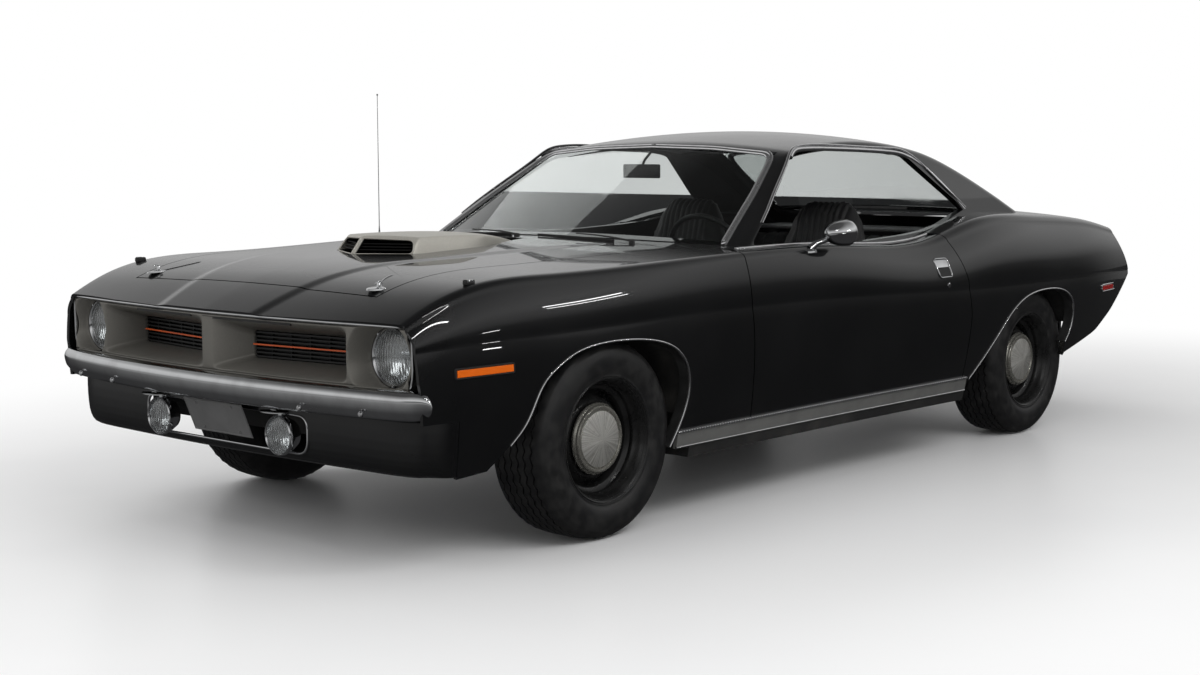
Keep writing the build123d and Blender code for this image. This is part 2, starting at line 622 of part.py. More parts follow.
with BuildPart() as licence_plates:
    for x, z in ((FRONT_PLATE_X, FRONT_PLATE_Z), (REAR_PLATE_X, REAR_PLATE_Z)):
        add(box_between(x - 1.5, x + 1.5, -PLATE_W / 2, PLATE_W / 2, z - PLATE_H / 2, z + PLATE_H / 2))
    add(PLATE_HOLES, mode=Mode.SUBTRACT)
finish(licence_plates.part, "licence_plates")

# ---- Tail panel and lamps ----
TAIL_LINE = [(-2222, 846), (-2345, 655), (-2335, 600)]
with BuildPart() as tail_half:
    add(INNER)
    add(side_prism(TAIL_LINE + [(x + 26, z) for x, z in reversed(TAIL_LINE)], 0, 1000), mode=Mode.INTERSECT)
with BuildPart() as tail_panel:
    add(tail_half.part)
    mirror(tail_half.part, about=Plane.XZ)
    add(box_between(-2322, -2200, -560, 560, 566, 590))
finish(tail_panel.part, "tail_panel")

with BuildPart() as lamp_left:
    add(INNER)
    add(side_prism([(-2255, 790), (-2318, 690), (-2334, 696), (-2271, 796)], 390, 735), mode=Mode.INTERSECT)
    add(tail_panel.part, mode=Mode.SUBTRACT)
with BuildPart() as tail_lamps:
    add(lamp_left.part)
    mirror(lamp_left.part, about=Plane.XZ)
finish(tail_lamps.part, "tail_lamps")

# ---- Side markers and rocker mouldings, proud of the skin ----
def skin_strip(outline, y_from):
    """A strip 4 mm proud of both sides of the body with the given side view."""
    with BuildPart() as left:
        add(PROUD)
        add(OUTER, mode=Mode.SUBTRACT)
        add(side_prism(outline, y_from, 1200), mode=Mode.INTERSECT)
    with BuildPart() as both:
        add(left.part)
        mirror(left.part, about=Plane.XZ)
    return both.part


finish(skin_strip([(1895, 583), (2143, 583), (2143, 609), (1895, 609)], 700), "front_markers")
finish(skin_strip([(-2098, 574), (-1938, 576), (-1938, 602), (-2098, 600)], 700), "rear_markers")
with BuildPart() as rocker_mouldings:
    add(skin_strip([(-712, 252), (1062, 252), (1062, 298), (-712, 298)], 700))
finish(rocker_mouldings.part, "rocker_mouldings")

# ---- Engine, shaker scoop, gearbox and shaft, exhaust, tank ----
with BuildPart() as engine:
    add(box_between(960, 1690, -300, 300, 300, 790))
finish(engine.part, "engine")

SCOOP_TOP = {1700: 922, 1640: 943, 1306: 944, 961: 893}
with BuildPart() as shaker_scoop:
    for x, w in SCOOP_PLAN:
        with BuildSketch(cross_plane(x)):
            with BuildLine():
                top = SCOOP_TOP[x]
                Polyline((-w, 800), (w, 800), (w - 4, top - 30), (w - 32, top), (32 - w, top), (4 - w, top - 30),
                         close=True)
            make_face()
    loft(ruled=True)
    for side in (-1, 1):
        with BuildSketch(cross_plane(1560)):
            with Locations((side * 88, 905)):
                Rectangle(140, 34)
        extrude(amount=200, mode=Mode.SUBTRACT)
    add(box_between(1150, 1550, -190, 190, 790, 801))
finish(shaker_scoop.part, "shaker_scoop")

with BuildPart() as driveline:
    add(box_between(420, 960, -80, 80, 215, 350))
    with BuildSketch(cross_plane(-1160)):
        with Locations((0, 300)):
            Circle(40)
    extrude(amount=420 + 1160)
finish(driveline.part, "driveline")

EXHAUST_ROUTE = [(970, 330, 250), (880, 330, 190), (-960, 330, 190), (-1180, 380, 396), (-1480, 380, 396),
                 (-1760, 450, 290), (-2300, 450, 290)]


def pipe(route, bend_r, radius):
    """A round pipe along straight runs joined by arcs."""
    with BuildPart() as tube:
        with BuildLine() as path:
            FilletPolyline(*route, radius=bend_r)
        with BuildSketch(Plane(origin=route[0], z_dir=path.line % 0)):
            Circle(radius)
        sweep()
    return tube.part


with BuildPart() as exhaust:
    for side in (1, -1):
        add(pipe([(x, side * y, z) for x, y, z in EXHAUST_ROUTE], 60, 25))
        add(box_between(-60, -560, side * 250, side * 410, 140, 225))
        add(box_between(-2330, -2262, side * 450 - 55, side * 450 + 55, 268, 314))
finish(exhaust.part, "exhaust")

with BuildPart() as fuel_tank:
    add(box_between(-1700, -2180, -340, 340, 215, 405))
    fillet(fuel_tank.edges().filter_by(Axis.Z), 50)
finish(fuel_tank.part, "fuel_tank")

# ---- Cabin: dashboard, steering wheel, seats ----
with BuildPart() as dashboard:
    add(side_prism([(780, 815), (560, 822), (520, 795), (520, 640), (600, 600), (780, 600)], -700, 700))
finish(dashboard.part, "dashboard")

WHEEL_AT = (262, 372, 800)
WHEEL_TILT = 24
with BuildPart() as steering_wheel:
    with BuildSketch(Plane.XZ):
        with Locations((190, 0)):
            Circle(13)
    revolve(axis=Axis.Z)
    with BuildSketch(Plane.XY.offset(-14)):
        Rectangle(370, 30)
    extrude(amount=12)
    with BuildSketch(Plane.XY.offset(-330)):
        Circle(26)
    extrude(amount=340)
with BuildPart() as steering_placed:
    add(steering_wheel.part.moved(Location(WHEEL_AT) * Location((0, 0, 0), (0, -90 + WHEEL_TILT, 0))))
    add(dashboard.part, mode=Mode.SUBTRACT)
finish(steering_placed.part, "steering_wheel")

SEAT_Y = 356
with BuildPart() as front_seats:
    for side in (-1, 1):
        y0, y1 = side * SEAT_Y - 236, side * SEAT_Y + 236
        add(side_prism([(-20, 300), (10, 455), (-470, 420), (-470, 270)], y0, y1))
        add(side_prism([(-440, 300), (-420, 480), (-520, 1026), (-590, 1026), (-600, 980), (-570, 300)],
                       y0 + 10, y1 - 10))
        add(box_between(-60, -430, y0 + 40, y1 - 40, 245, 300))
finish(front_seats.part, "front_seats")
with BuildPart() as rear_seat:
    add(side_prism([(-800, 384), (-780, 470), (-918, 462), (-1180, 448), (-918, 447), (-917, 384)], -590, 590))
    add(side_prism([(-1120, 447), (-1225, 860), (-1520, 876), (-1520, 862), (-1300, 846), (-1250, 447)],
                   -590, 590))
finish(rear_seat.part, "rear_seat")

# ---- Suspension ----
KINGPIN_Y = 690
with BuildPart() as front_suspension:
    add(box_between(FRONT_AXLE_X - 50, FRONT_AXLE_X + 50, -400, 400, 240, 300))
    for side in (-1, 1):
        add(box_between(FRONT_AXLE_X - 28, FRONT_AXLE_X + 28, side * 380, side * 643, 212, 240))
        add(box_between(FRONT_AXLE_X - 24, FRONT_AXLE_X + 24, side * 476, side * 643, 424, 444))
        add(box_between(FRONT_AXLE_X - 50, FRONT_AXLE_X + 50, side * 380, side * 470, 300, 350))
finish(front_suspension.part, "front_suspension")


def knuckle(side):
    """Upright with its brake drum and spindle; side is 1 on the left."""
    with BuildPart() as upright:
        add(box_between(FRONT_AXLE_X - 20, FRONT_AXLE_X + 20, side * 654, side * 684, 205, 450))
        with BuildSketch(Plane.XZ.offset(-side * 684)):
            with Locations((FRONT_AXLE_X, HUB_Z)):
                Circle(140)
        extrude(amount=-side * 36)
        with BuildSketch(Plane.XZ.offset(-side * 700)):
            with Locations((FRONT_AXLE_X, HUB_Z)):
                Circle(24)
        extrude(amount=-side * 88)
    return upright.part


finish(knuckle(1), "knuckle_left")
finish(knuckle(-1), "knuckle_right")

SPRING_Y = 540
with BuildPart() as rear_axle:
    with BuildSketch(Plane.XZ.offset(700)):
        with Locations((REAR_AXLE_X, HUB_Z)):
            Circle(42)
    extrude(amount=-1400)
    with Locations((REAR_AXLE_X, 0, HUB_Z)):
        Sphere(104)
    for side in (-1, 1):
        with BuildSketch(Plane.XZ.offset(-side * 690)):
            with Locations((REAR_AXLE_X, HUB_Z)):
                Circle(140)
        extrude(amount=-side * 42)
        with BuildSketch(Plane.XZ.offset(-side * 700)):
            with Locations((REAR_AXLE_X, HUB_Z)):
                Circle(24)
        extrude(amount=-side * 90)
        with BuildSketch(Plane.XZ.offset(-(side * SPRING_Y - 30))):
            with BuildLine():
                ThreePointArc((-970, 350), (-1450, 262), (-1990, 350))
                ThreePointArc((-970, 326), (-1450, 236), (-1990, 326))
                Line((-970, 350), (-970, 326))
                Line((-1990, 350), (-1990, 326))
            make_face()
        extrude(amount=-60)
        add(box_between(REAR_AXLE_X - 50, REAR_AXLE_X + 50, side * SPRING_Y - 30, side * SPRING_Y + 30, 250, 300))
        for x in (-990, -1990):
            add(box_between(x - 14, x + 14, side * SPRING_Y - 30, side * SPRING_Y + 30, 330, 372))
finish(rear_axle.part, "rear_axle")

# ---- Wheels and tyres ----
HALF_W = TYRE_W / 2


def tyre_profile():
    """The tyre as a solid of revolution about Y, centred on the origin."""
    with BuildPart() as ring:
        with BuildSketch(Plane.XY):
            with BuildLine():
                Line((RIM_R, -98), (RIM_R, 98))
                ThreePointArc((RIM_R, 98), (248, HALF_W), (300, 100))
                ThreePointArc((300, 100), (TYRE_R - 5, 86), (TYRE_R - 1.5, 60))
                ThreePointArc((TYRE_R - 1.5, 60), (TYRE_R, 0), (TYRE_R - 1.5, -60))
                ThreePointArc((TYRE_R - 1.5, -60), (TYRE_R - 5, -86), (300, -100))
                ThreePointArc((300, -100), (248, -HALF_W), (RIM_R, -98))
            make_face()
        revolve(axis=Axis.Y)
    return ring.part


def wheel_profile():
    """Steel wheel with a plain cap, outer side towards +Y."""
    cap_rim, cap_r, cap_dome = 60, 108, 20
    along, out = dome_point(cap_r, cap_dome)
    with BuildPart() as disc:
        with BuildSketch(Plane.XY):
            with BuildLine():
                Polyline((26, 32), (120, 32), (150, 10), (172, 10), (172, -94), (RIM_R, -98), (RIM_R, 98),
                         (172, 94), (172, 22), (156, 22), (130, 44), (113, 46), (cap_r, cap_rim))
                ThreePointArc((cap_r, cap_rim), (out, cap_rim + along), (0, cap_rim + cap_dome))
                Polyline((0, cap_rim + cap_dome), (0, 34), (26, 34), (26, 32))
            make_face()
        revolve(axis=Axis.Y)
    return disc.part


TYRE, WHEEL = tyre_profile(), wheel_profile()
# corner, axle x, side, track half width
CORNERS = [("fl", FRONT_AXLE_X, 1, FRONT_TRACK_Y), ("fr", FRONT_AXLE_X, -1, FRONT_TRACK_Y),
           ("rl", REAR_AXLE_X, 1, REAR_TRACK_Y), ("rr", REAR_AXLE_X, -1, REAR_TRACK_Y)]
for corner, x, side, half_track in CORNERS:
    place = Location((x, side * half_track, HUB_Z), (0, 0, 0 if side > 0 else 180))
    finish(TYRE.moved(place), f"tyre_{corner}")
    finish(WHEEL.moved(place), f"wheel_{corner}")

# ---- Antenna on the right fender ----
with BuildPart() as antenna:
    with BuildSketch(Plane.XY.offset(868)):
        with Locations((906, -776)):
            Circle(16)
    extrude(amount=22)
    with BuildSketch(Plane.XY.offset(880)):
        with Locations((906, -776)):
            Circle(3)
    extrude(amount=1439 - 880)
    add(fender_right.part, mode=Mode.SUBTRACT)
finish(antenna.part, "antenna")
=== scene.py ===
# %% [markdown]
# A two-door muscle car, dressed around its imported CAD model. The frame holds every working
# piece at its real place: this script gives them their finishes, lays smooth body panels,
# trim, lamps, tyres and upholstery over them, and never moves a CAD piece. Lengths in the
# tables are millimetres, as on a body drawing, and MM turns them into Blender's metres.

# %% The frame
import bpy
import bmesh
import json
import math
import numpy as np
from mathutils import Matrix, Vector

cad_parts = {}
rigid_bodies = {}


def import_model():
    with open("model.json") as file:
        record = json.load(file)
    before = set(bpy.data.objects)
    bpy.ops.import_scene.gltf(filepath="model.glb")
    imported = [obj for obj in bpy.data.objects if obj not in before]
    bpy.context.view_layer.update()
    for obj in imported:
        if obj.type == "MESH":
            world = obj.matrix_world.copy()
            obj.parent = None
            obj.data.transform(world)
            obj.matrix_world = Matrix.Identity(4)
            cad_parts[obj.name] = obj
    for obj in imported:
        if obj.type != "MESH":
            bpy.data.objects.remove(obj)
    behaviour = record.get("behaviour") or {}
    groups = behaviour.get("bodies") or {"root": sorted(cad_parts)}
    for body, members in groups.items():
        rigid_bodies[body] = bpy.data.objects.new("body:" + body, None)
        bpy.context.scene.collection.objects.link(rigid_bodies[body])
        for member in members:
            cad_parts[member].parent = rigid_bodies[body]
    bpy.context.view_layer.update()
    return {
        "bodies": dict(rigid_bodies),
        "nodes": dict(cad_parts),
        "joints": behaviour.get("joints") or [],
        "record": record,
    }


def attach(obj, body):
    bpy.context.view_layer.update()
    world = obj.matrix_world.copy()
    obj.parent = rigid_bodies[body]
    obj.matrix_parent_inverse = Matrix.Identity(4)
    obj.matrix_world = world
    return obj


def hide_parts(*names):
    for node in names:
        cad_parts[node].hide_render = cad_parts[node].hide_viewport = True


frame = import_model()
MM = 0.001
nodes = frame["nodes"]

# %% [markdown]
# The camera stands at the car's left front corner at chest height, looking down a little,
# with a short telephoto lens, so the nose is large and the flank runs away from us.
# Heading is measured from the car's forward axis, as on a map.

# %% Camera
CAMERA_PLACE = (5.5675, 4.4392, 1.2380)
HEADING, PITCH, ROLL = -138.92, -6.22, 0.13
LENS, SENSOR = 52.94, 36.0
camera_data = bpy.data.cameras.new("camera")
camera_data.lens = LENS
camera_data.sensor_width = SENSOR
camera_data.sensor_fit = "HORIZONTAL"
camera = bpy.data.objects.new("camera", camera_data)
camera.location = CAMERA_PLACE
camera.rotation_euler = (math.radians(90 + PITCH), math.radians(ROLL), math.radians(HEADING - 90))
bpy.context.scene.collection.objects.link(camera)
bpy.context.scene.camera = camera
print("camera", CAMERA_PLACE, "lens", LENS)

# %% [markdown]
# Shader maths is easiest to read as maths. A Field wraps one output socket and overloads
# the operators, so 0.3 + dust * 0.06 adds its Math nodes by itself. Every other node comes
# from Shader.node, which sets the node's settings first and then its sockets.

# %% Shader helpers
class Field:
    """A number or colour that varies over a surface: one output socket of a node tree."""

    def __init__(self, shader, socket):
        self.shader, self.socket = shader, socket

    def math(self, operation, *others):
        return self.shader.node("ShaderNodeMath", {"operation": operation}, self, *others)

    def __add__(self, other):
        return self.math("ADD", other)

    def __mul__(self, other):
        return self.math("MULTIPLY", other)

    def __lt__(self, other):
        return self.math("LESS_THAN", other)

    def step(self, low, high):
        """0 below low, 1 above high and a smooth rise between them."""
        return self.shader.node("ShaderNodeMapRange", {"interpolation_type": "SMOOTHSTEP"},
                                self, low, high)

    __radd__, __rmul__ = __add__, __mul__


class Shader:
    """The node tree of one material, with its Principled BSDF as bsdf."""

    def __init__(self, name):
        self.material = bpy.data.materials.new(name)
        self.material.use_nodes = True
        self.nodes = self.material.node_tree.nodes
        self.links = self.material.node_tree.links
        self.bsdf = self.nodes["Principled BSDF"]

    def feed(self, socket, value):
        """Link a field into a socket, or set a constant on it."""
        if isinstance(value, Field):
            self.links.new(value.socket, socket)
        elif isinstance(value, tuple) and socket.type == "RGBA":
            socket.default_value = (*value, 1)
        else:
            socket.default_value = value

    def node(self, kind, settings=None, *values, out=0, **named):
        """Add a node: its settings, its sockets in order, then its sockets by name."""
        node = self.nodes.new(kind)
        for key, value in (settings or {}).items():
            setattr(node, key, value)
        for key, value in [*enumerate(values), *named.items()]:
            self.feed(node.inputs[key if isinstance(key, int) else key.replace("_", " ")], value)
        return Field(self, node.outputs[out])

    def place(self):
        """Where on the object a point is, in metres."""
        return self.node("ShaderNodeTexCoord", out=3)

    def axes(self):
        """The place as three numbers."""
        split = self.node("ShaderNodeSeparateXYZ", None, self.place())
        return [Field(self, output) for output in split.socket.node.outputs]

    def noise(self, scale, detail=3.0, **named):
        return self.node("ShaderNodeTexNoise", None, Vector=self.place(), Scale=scale,
                         Detail=detail, **named)

    def mix(self, factor, first, second):
        """A colour between two colours."""
        made = self.node("ShaderNodeMix", {"data_type": "RGBA"}, out=2)
        for index, value in ((0, factor), (6, first), (7, second)):
            self.feed(made.socket.node.inputs[index], value)
        return made

    def bump(self, height, strength, distance):
        """Feed a height in metres to the surface's normal."""
        self.set(Normal=self.node("ShaderNodeBump", None, Strength=strength, Distance=distance,
                                  Height=height))

    def set(self, **named):
        """Constants and fields on the Principled BSDF."""
        for key, value in named.items():
            self.feed(self.bsdf.inputs[key.replace("_", " ")], value)


FINISH = {}


def finish(name):
    """Start a material and keep it under its name."""
    shader = Shader(name)
    FINISH[name] = shader.material
    return shader


print("shader helpers ready")

# %% [markdown]
# Gloss black enamel under clear lacquer is nearly all reflection. What makes it read as
# paint and not plastic is the faint unevenness of the lacquer, a little dust that dulls it
# on the flats, and a base that is a touch lighter than pure black.

# %% Paint
def body_paint():
    paint = finish("body_paint")
    dust = paint.noise(3.1, 4.0).step(0.35, 0.75)
    peel = paint.noise(420.0, 1.0)
    paint.set(Base_Color=paint.mix(dust, (0.0030, 0.0031, 0.0034), (0.0046, 0.0047, 0.0050)),
              Roughness=0.30 + dust * 0.06, Coat_Weight=1.0, Coat_Roughness=0.02, Coat_IOR=1.5,
              Specular_IOR_Level=0.12)
    paint.bump(peel, 0.06, 0.0001)


body_paint()

# %% [markdown]
# Bright metal comes in three kinds here: polished chrome for the bumpers, mouldings and
# lamp rims, slightly hazed so that it isn't a perfect mirror; warm silver enamel for the
# grille surround and the scoop, which is paint with fine metal flake; and bare or dark
# steel below, with the blotches of handled iron.

# %% Metals
def chrome():
    bright = finish("chrome")
    haze = bright.noise(14.0, 4.0).step(0.4, 0.8)
    bright.set(Base_Color=bright.mix(haze, (0.78, 0.79, 0.80), (0.66, 0.66, 0.67)), Metallic=1.0,
               Roughness=0.06 + haze * 0.10)


def bright_trim():
    """Polished stainless strip, a little softer than chrome."""
    strip = finish("bright_trim")
    haze = strip.noise(40.0, 3.0).step(0.3, 0.8)
    strip.set(Base_Color=strip.mix(haze, (0.92, 0.92, 0.93), (0.80, 0.80, 0.81)), Metallic=1.0,
              Roughness=0.20 + haze * 0.08)


def metallic_enamel(name, light, dark):
    silver = finish(name)
    flake = silver.noise(900.0, 1.0).step(0.45, 0.62)
    patch = silver.noise(5.0, 3.0).step(0.3, 0.8)
    silver.set(Base_Color=silver.mix(flake, light, dark), Metallic=0.6, Roughness=0.36 + patch * 0.10)
    silver.bump(flake, 0.08, 0.0001)


def steel():
    iron = finish("steel")
    blotch = iron.noise(22.0, 5.0).step(0.35, 0.7)
    iron.set(Base_Color=iron.mix(blotch, (0.055, 0.055, 0.058), (0.11, 0.105, 0.10)), Metallic=0.75,
             Roughness=0.42 + blotch * 0.2)
    iron.bump(blotch, 0.2, 0.0006)


def brushed_cap():
    cap = finish("brushed_cap")
    grain = cap.noise(60.0, 5.0).step(0.35, 0.65)
    cap.set(Base_Color=cap.mix(grain, (0.56, 0.55, 0.52), (0.70, 0.69, 0.66)), Metallic=1.0,
            Roughness=0.24 + grain * 0.10)


chrome()
bright_trim()
metallic_enamel("argent", (0.16, 0.155, 0.14), (0.22, 0.21, 0.19))
metallic_enamel("scoop_silver", (0.52, 0.50, 0.45), (0.66, 0.64, 0.58))
steel()
brushed_cap()

# %% [markdown]
# The blacks all differ: satin enamel on the wheels and the grille, soft pebbled rubber and
# vinyl, and the matt undercoat with road dust below. Rubber and vinyl are told apart by
# their grain, which is bump: fine speckle on rubber, a cell pattern on vinyl.

# %% Blacks
def satin_black(name, shade, rough):
    satin = finish(name)
    wear = satin.noise(18.0, 4.0).step(0.4, 0.75)
    satin.set(Base_Color=satin.mix(wear, (shade, shade, shade), (shade * 1.8,) * 3),
              Roughness=rough + wear * 0.12)
    satin.bump(satin.noise(600.0, 1.0), 0.05, 0.0002)


def vinyl(name, shade):
    cover = finish(name)
    cells = cover.node("ShaderNodeTexVoronoi", {"feature": "DISTANCE_TO_EDGE"},
                       Vector=cover.place(), Scale=520.0)
    tone = cover.noise(6.0, 3.0).step(0.3, 0.8)
    cover.set(Base_Color=cover.mix(tone, (shade, shade, shade * 1.05), (shade * 1.8,) * 3),
              Roughness=0.46 + tone * 0.12, Specular_IOR_Level=0.45)
    cover.bump(cells.step(0.0, 0.09), 0.35, 0.0003)


def rubber():
    tyre = finish("tyre")
    dust = tyre.noise(26.0, 5.0).step(0.35, 0.8)
    tyre.set(Base_Color=tyre.mix(dust, (0.008, 0.008, 0.0085), (0.019, 0.0185, 0.018)),
             Roughness=0.36 + dust * 0.20, Specular_IOR_Level=0.5)
    tyre.bump(tyre.noise(700.0, 2.0), 0.12, 0.0003)


def undercoat():
    tar = finish("underbody")
    grit = tar.noise(160.0, 4.0)
    dirt = tar.noise(7.0, 4.0).step(0.4, 0.8)
    tar.set(Base_Color=tar.mix(dirt, (0.012, 0.012, 0.012), (0.032, 0.030, 0.027)),
            Roughness=0.74 + dirt * 0.14)
    tar.bump(grit, 0.5, 0.0012)


satin_black("grille_black", 0.008, 0.42)
satin_black("trim_black", 0.011, 0.50)
satin_black("wheel_black", 0.007, 0.26)
satin_black("engine_paint", 0.05, 0.40)
vinyl("vinyl_black", 0.011)
vinyl("vinyl_grey", 0.075)
rubber()
undercoat()

# %% [markdown]
# Glass in a studio shot is mostly what is behind it, with a faint tint and a clean
# highlight. Lenses are thick ribbed plastic or pressed glass: the ribs are bump bands
# along one axis, and the colour sits in the material itself.

# %% Glass and lenses
def clear_glass():
    pane = finish("glass")
    smear = pane.noise(2.6, 4.0).step(0.45, 0.9)
    pane.set(Base_Color=(0.64, 0.67, 0.66), Roughness=0.0 + smear * 0.03, Transmission_Weight=1.0,
             IOR=1.35, Specular_IOR_Level=0.5)


def ribbed_lens(name, colour, pitch, transmission):
    lens = finish(name)
    y = lens.axes()[1]
    ribs = (y * (2 * math.pi / pitch)).math("SINE") * 0.5 + 0.5
    tone = lens.noise(30.0, 2.0)
    lens.set(Base_Color=lens.mix(tone, colour, tuple(c * 0.8 for c in colour)),
             Roughness=0.08 + ribs * 0.06, Transmission_Weight=transmission, IOR=1.45, Coat_Weight=0.6)
    lens.bump(ribs, 0.5, pitch * 0.15)


clear_glass()
ribbed_lens("lamp_glass", (0.82, 0.84, 0.84), 0.011, 0.95)
ribbed_lens("red_lens", (0.40, 0.010, 0.008), 0.006, 0.25)
ribbed_lens("amber_lens", (0.90, 0.16, 0.01), 0.006, 0.25)


def painted(name, colour, rough, metallic=0.0):
    """A plain enamel with a little tone in it."""
    coat = finish(name)
    tone = coat.noise(9.0, 3.0).step(0.3, 0.8)
    coat.set(Base_Color=coat.mix(tone, colour, tuple(c * 0.82 for c in colour)),
             Roughness=rough + tone * 0.08, Metallic=metallic)


painted("plate", (0.22, 0.22, 0.22), 0.32, 0.6)
painted("orange_line", (0.62, 0.10, 0.02), 0.4)
painted("rocker_satin", (0.30, 0.30, 0.29), 0.34, 0.7)
painted("gauge_white", (0.6, 0.6, 0.56), 0.5)
print(len(FINISH), "finishes")

# %% [markdown]
# A CAD node keeps its mesh and only gets a finish, from the table below. the record names a slot for each.

# %% Finishes for the CAD nodes
NODE_FINISH = {
    "body_paint": ["fender_left", "fender_right", "quarter_left", "quarter_right", "roof", "cowl",
                   "nose_panel", "front_valance", "rear_valance", "tail_panel", "hood",
                   "door_left", "door_right", "decklid"],
    "underbody": ["floor_pan", "fuel_tank", "driveline"],
    "argent": ["grille_surround"],
    "scoop_silver": ["shaker_scoop"],
    "grille_black": ["grille_inserts"],
    "lamp_glass": ["headlamps", "driving_lamps"],
    "chrome": ["front_bumper", "rear_bumper", "rocker_mouldings", "door_left_fittings",
               "door_right_fittings", "antenna"],
    "plate": ["licence_plates"],
    "red_lens": ["tail_lamps", "rear_markers"],
    "amber_lens": ["front_markers"],
    "glass": ["windshield", "rear_window"],
    "engine_paint": ["engine"],
    "steel": ["exhaust", "front_suspension", "rear_axle", "knuckle_left", "knuckle_right"],
    "vinyl_black": ["dashboard", "front_seats", "rear_seat"],
    "trim_black": ["steering_wheel"],
    "wheel_black": ["wheel_fl", "wheel_fr", "wheel_rl", "wheel_rr"],
    "tyre": ["tyre_fl", "tyre_fr", "tyre_rl", "tyre_rr"],
}


def wear(piece, name):
    """Give an object one finish all over."""
    piece.data.materials.clear()
    piece.data.materials.append(FINISH[name])


for name, members in NODE_FINISH.items():
    for member in members:
        wear(nodes[member], name)
print(sum(len(members) for members in NODE_FINISH.values()), "nodes finished")

# %% [markdown]
# The room is a pale floor that keeps a soft contact shadow, and a sky that is white where
# the lens or a clear pane looks at it. Polished paint shows the room itself, so mirror rays
# see two walls that are bright at half height and dark overhead. Three wide lamps light the
# car and stay out of its mirrors; four thin tubes draw short streaks on the fender.

# %% Room
FLOOR_HALF = 30.0
bpy.ops.mesh.primitive_plane_add(size=2 * FLOOR_HALF, location=(0, 0, 0))
floor = bpy.context.object
floor.name = "floor"


def floor_finish():
    """Pale near the car and fading to plain white; mirror rays see a painted glow, dark round the car and
    brighter ahead of it.
    """
    pale = finish("floor")
    tone = pale.noise(0.8, 3.0).step(0.3, 0.8)
    path = pale.node("ShaderNodeLightPath").socket.node
    pale.set(Base_Color=pale.mix(tone, (0.88, 0.88, 0.88), (0.84, 0.84, 0.845)),
             Roughness=0.30 + tone * 0.05, Specular_IOR_Level=0.35)
    ahead, left, _ = pale.axes()
    far = (ahead * ahead * 0.42 + left * left).math("SQRT").step(1.7, 4.0)
    white = pale.node("ShaderNodeEmission", None, (1.0, 1.0, 1.0), 1.0)
    # painted reflection: mirror rays see no real floor but a fixed glow, dark round the car and brighter
    # ahead of it
    dark = pale.node("ShaderNodeEmission", None, (0.03, 0.03, 0.031), 1.0)
    lit = pale.node("ShaderNodeEmission", None, (0.26, 0.26, 0.26), 1.0)
    mirror_glow = pale.node("ShaderNodeMixShader", None, ahead.step(2.0, 4.5), dark, lit)
    faded = pale.node("ShaderNodeMixShader", None, far * Field(pale, path.outputs["Is Camera Ray"]),
                      Field(pale, pale.bsdf.outputs[0]), white)
    shown = pale.node("ShaderNodeMixShader", None, Field(pale, path.outputs["Is Glossy Ray"]), faded, mirror_glow)
    pale.links.new(shown.socket, pale.nodes["Material Output"].inputs[0])


floor_finish()
wear(floor, "floor")

world = bpy.data.worlds.new("room")
bpy.context.scene.world = world
world.use_nodes = True
tree = world.node_tree


def room_node(kind, settings, *values):
    """Add a node to the world: its settings, then its sockets in order."""
    node = tree.nodes.new(kind)
    for key, value in settings.items():
        setattr(node, key, value)
    for index, value in enumerate(values):
        if isinstance(value, bpy.types.NodeSocket):
            tree.links.new(value, node.inputs[index])
        elif value is not None:
            node.inputs[index].default_value = value
    return node


def wall_ramp(height, stops):
    ramp = room_node("ShaderNodeValToRGB", {}, height)
    for index, (place, shade) in enumerate(stops):
        stop = ramp.color_ramp.elements[index] if index < 2 else ramp.color_ramp.elements.new(place)
        stop.position, stop.color = place, (shade, shade, shade, 1)
    return ramp.outputs[0]


def blend(factor, first, second):
    node = room_node("ShaderNodeMix", {"data_type": "RGBA"}, factor)
    for index, value in ((6, first), (7, second)):
        if isinstance(value, bpy.types.NodeSocket):
            tree.links.new(value, node.inputs[index])
        else:
            node.inputs[index].default_value = (value, value, value, 1)
    return node.outputs[2]


# how bright the room is, from the horizon (0) to overhead (1), as polished paint sees it
RIGHT_WALL = [(0.0, 0.38), (0.06, 0.44), (0.16, 0.55), (0.34, 0.60), (0.55, 0.26), (0.75, 0.06), (1.0, 0.06)]
LEFT_WALL = [(0.0, 0.03), (0.09, 0.07), (0.17, 0.36), (0.34, 0.66), (0.55, 0.40), (0.80, 0.08), (1.0, 0.06)]
SOFT_SKY = 0.75
ray = tree.nodes.new("ShaderNodeLightPath").outputs
split = room_node("ShaderNodeSeparateXYZ", {}, tree.nodes.new("ShaderNodeTexCoord").outputs["Generated"])
on_left = room_node("ShaderNodeMapRange", {"interpolation_type": "SMOOTHSTEP"}, split.outputs[1], -0.20, 0.30)
height = split.outputs[2]
walls = blend(on_left.outputs[0], wall_ramp(height, RIGHT_WALL), wall_ramp(height, LEFT_WALL))
mirrored_ray = room_node("ShaderNodeMath", {"operation": "GREATER_THAN"}, ray["Glossy Depth"], 0.5)
through = room_node("ShaderNodeMath", {"operation": "GREATER_THAN"}, ray["Transmission Depth"], 0.5)
clear = room_node("ShaderNodeMath", {"operation": "SUBTRACT", "use_clamp": True}, through.outputs[0],
                  mirrored_ray.outputs[0])
seen = room_node("ShaderNodeMath", {"operation": "MAXIMUM"}, ray["Is Camera Ray"], clear.outputs[0])
lit = blend(mirrored_ray.outputs[0], SOFT_SKY, walls)
tree.links.new(blend(seen.outputs[0], lit, 1.0), tree.nodes["Background"].inputs[0])

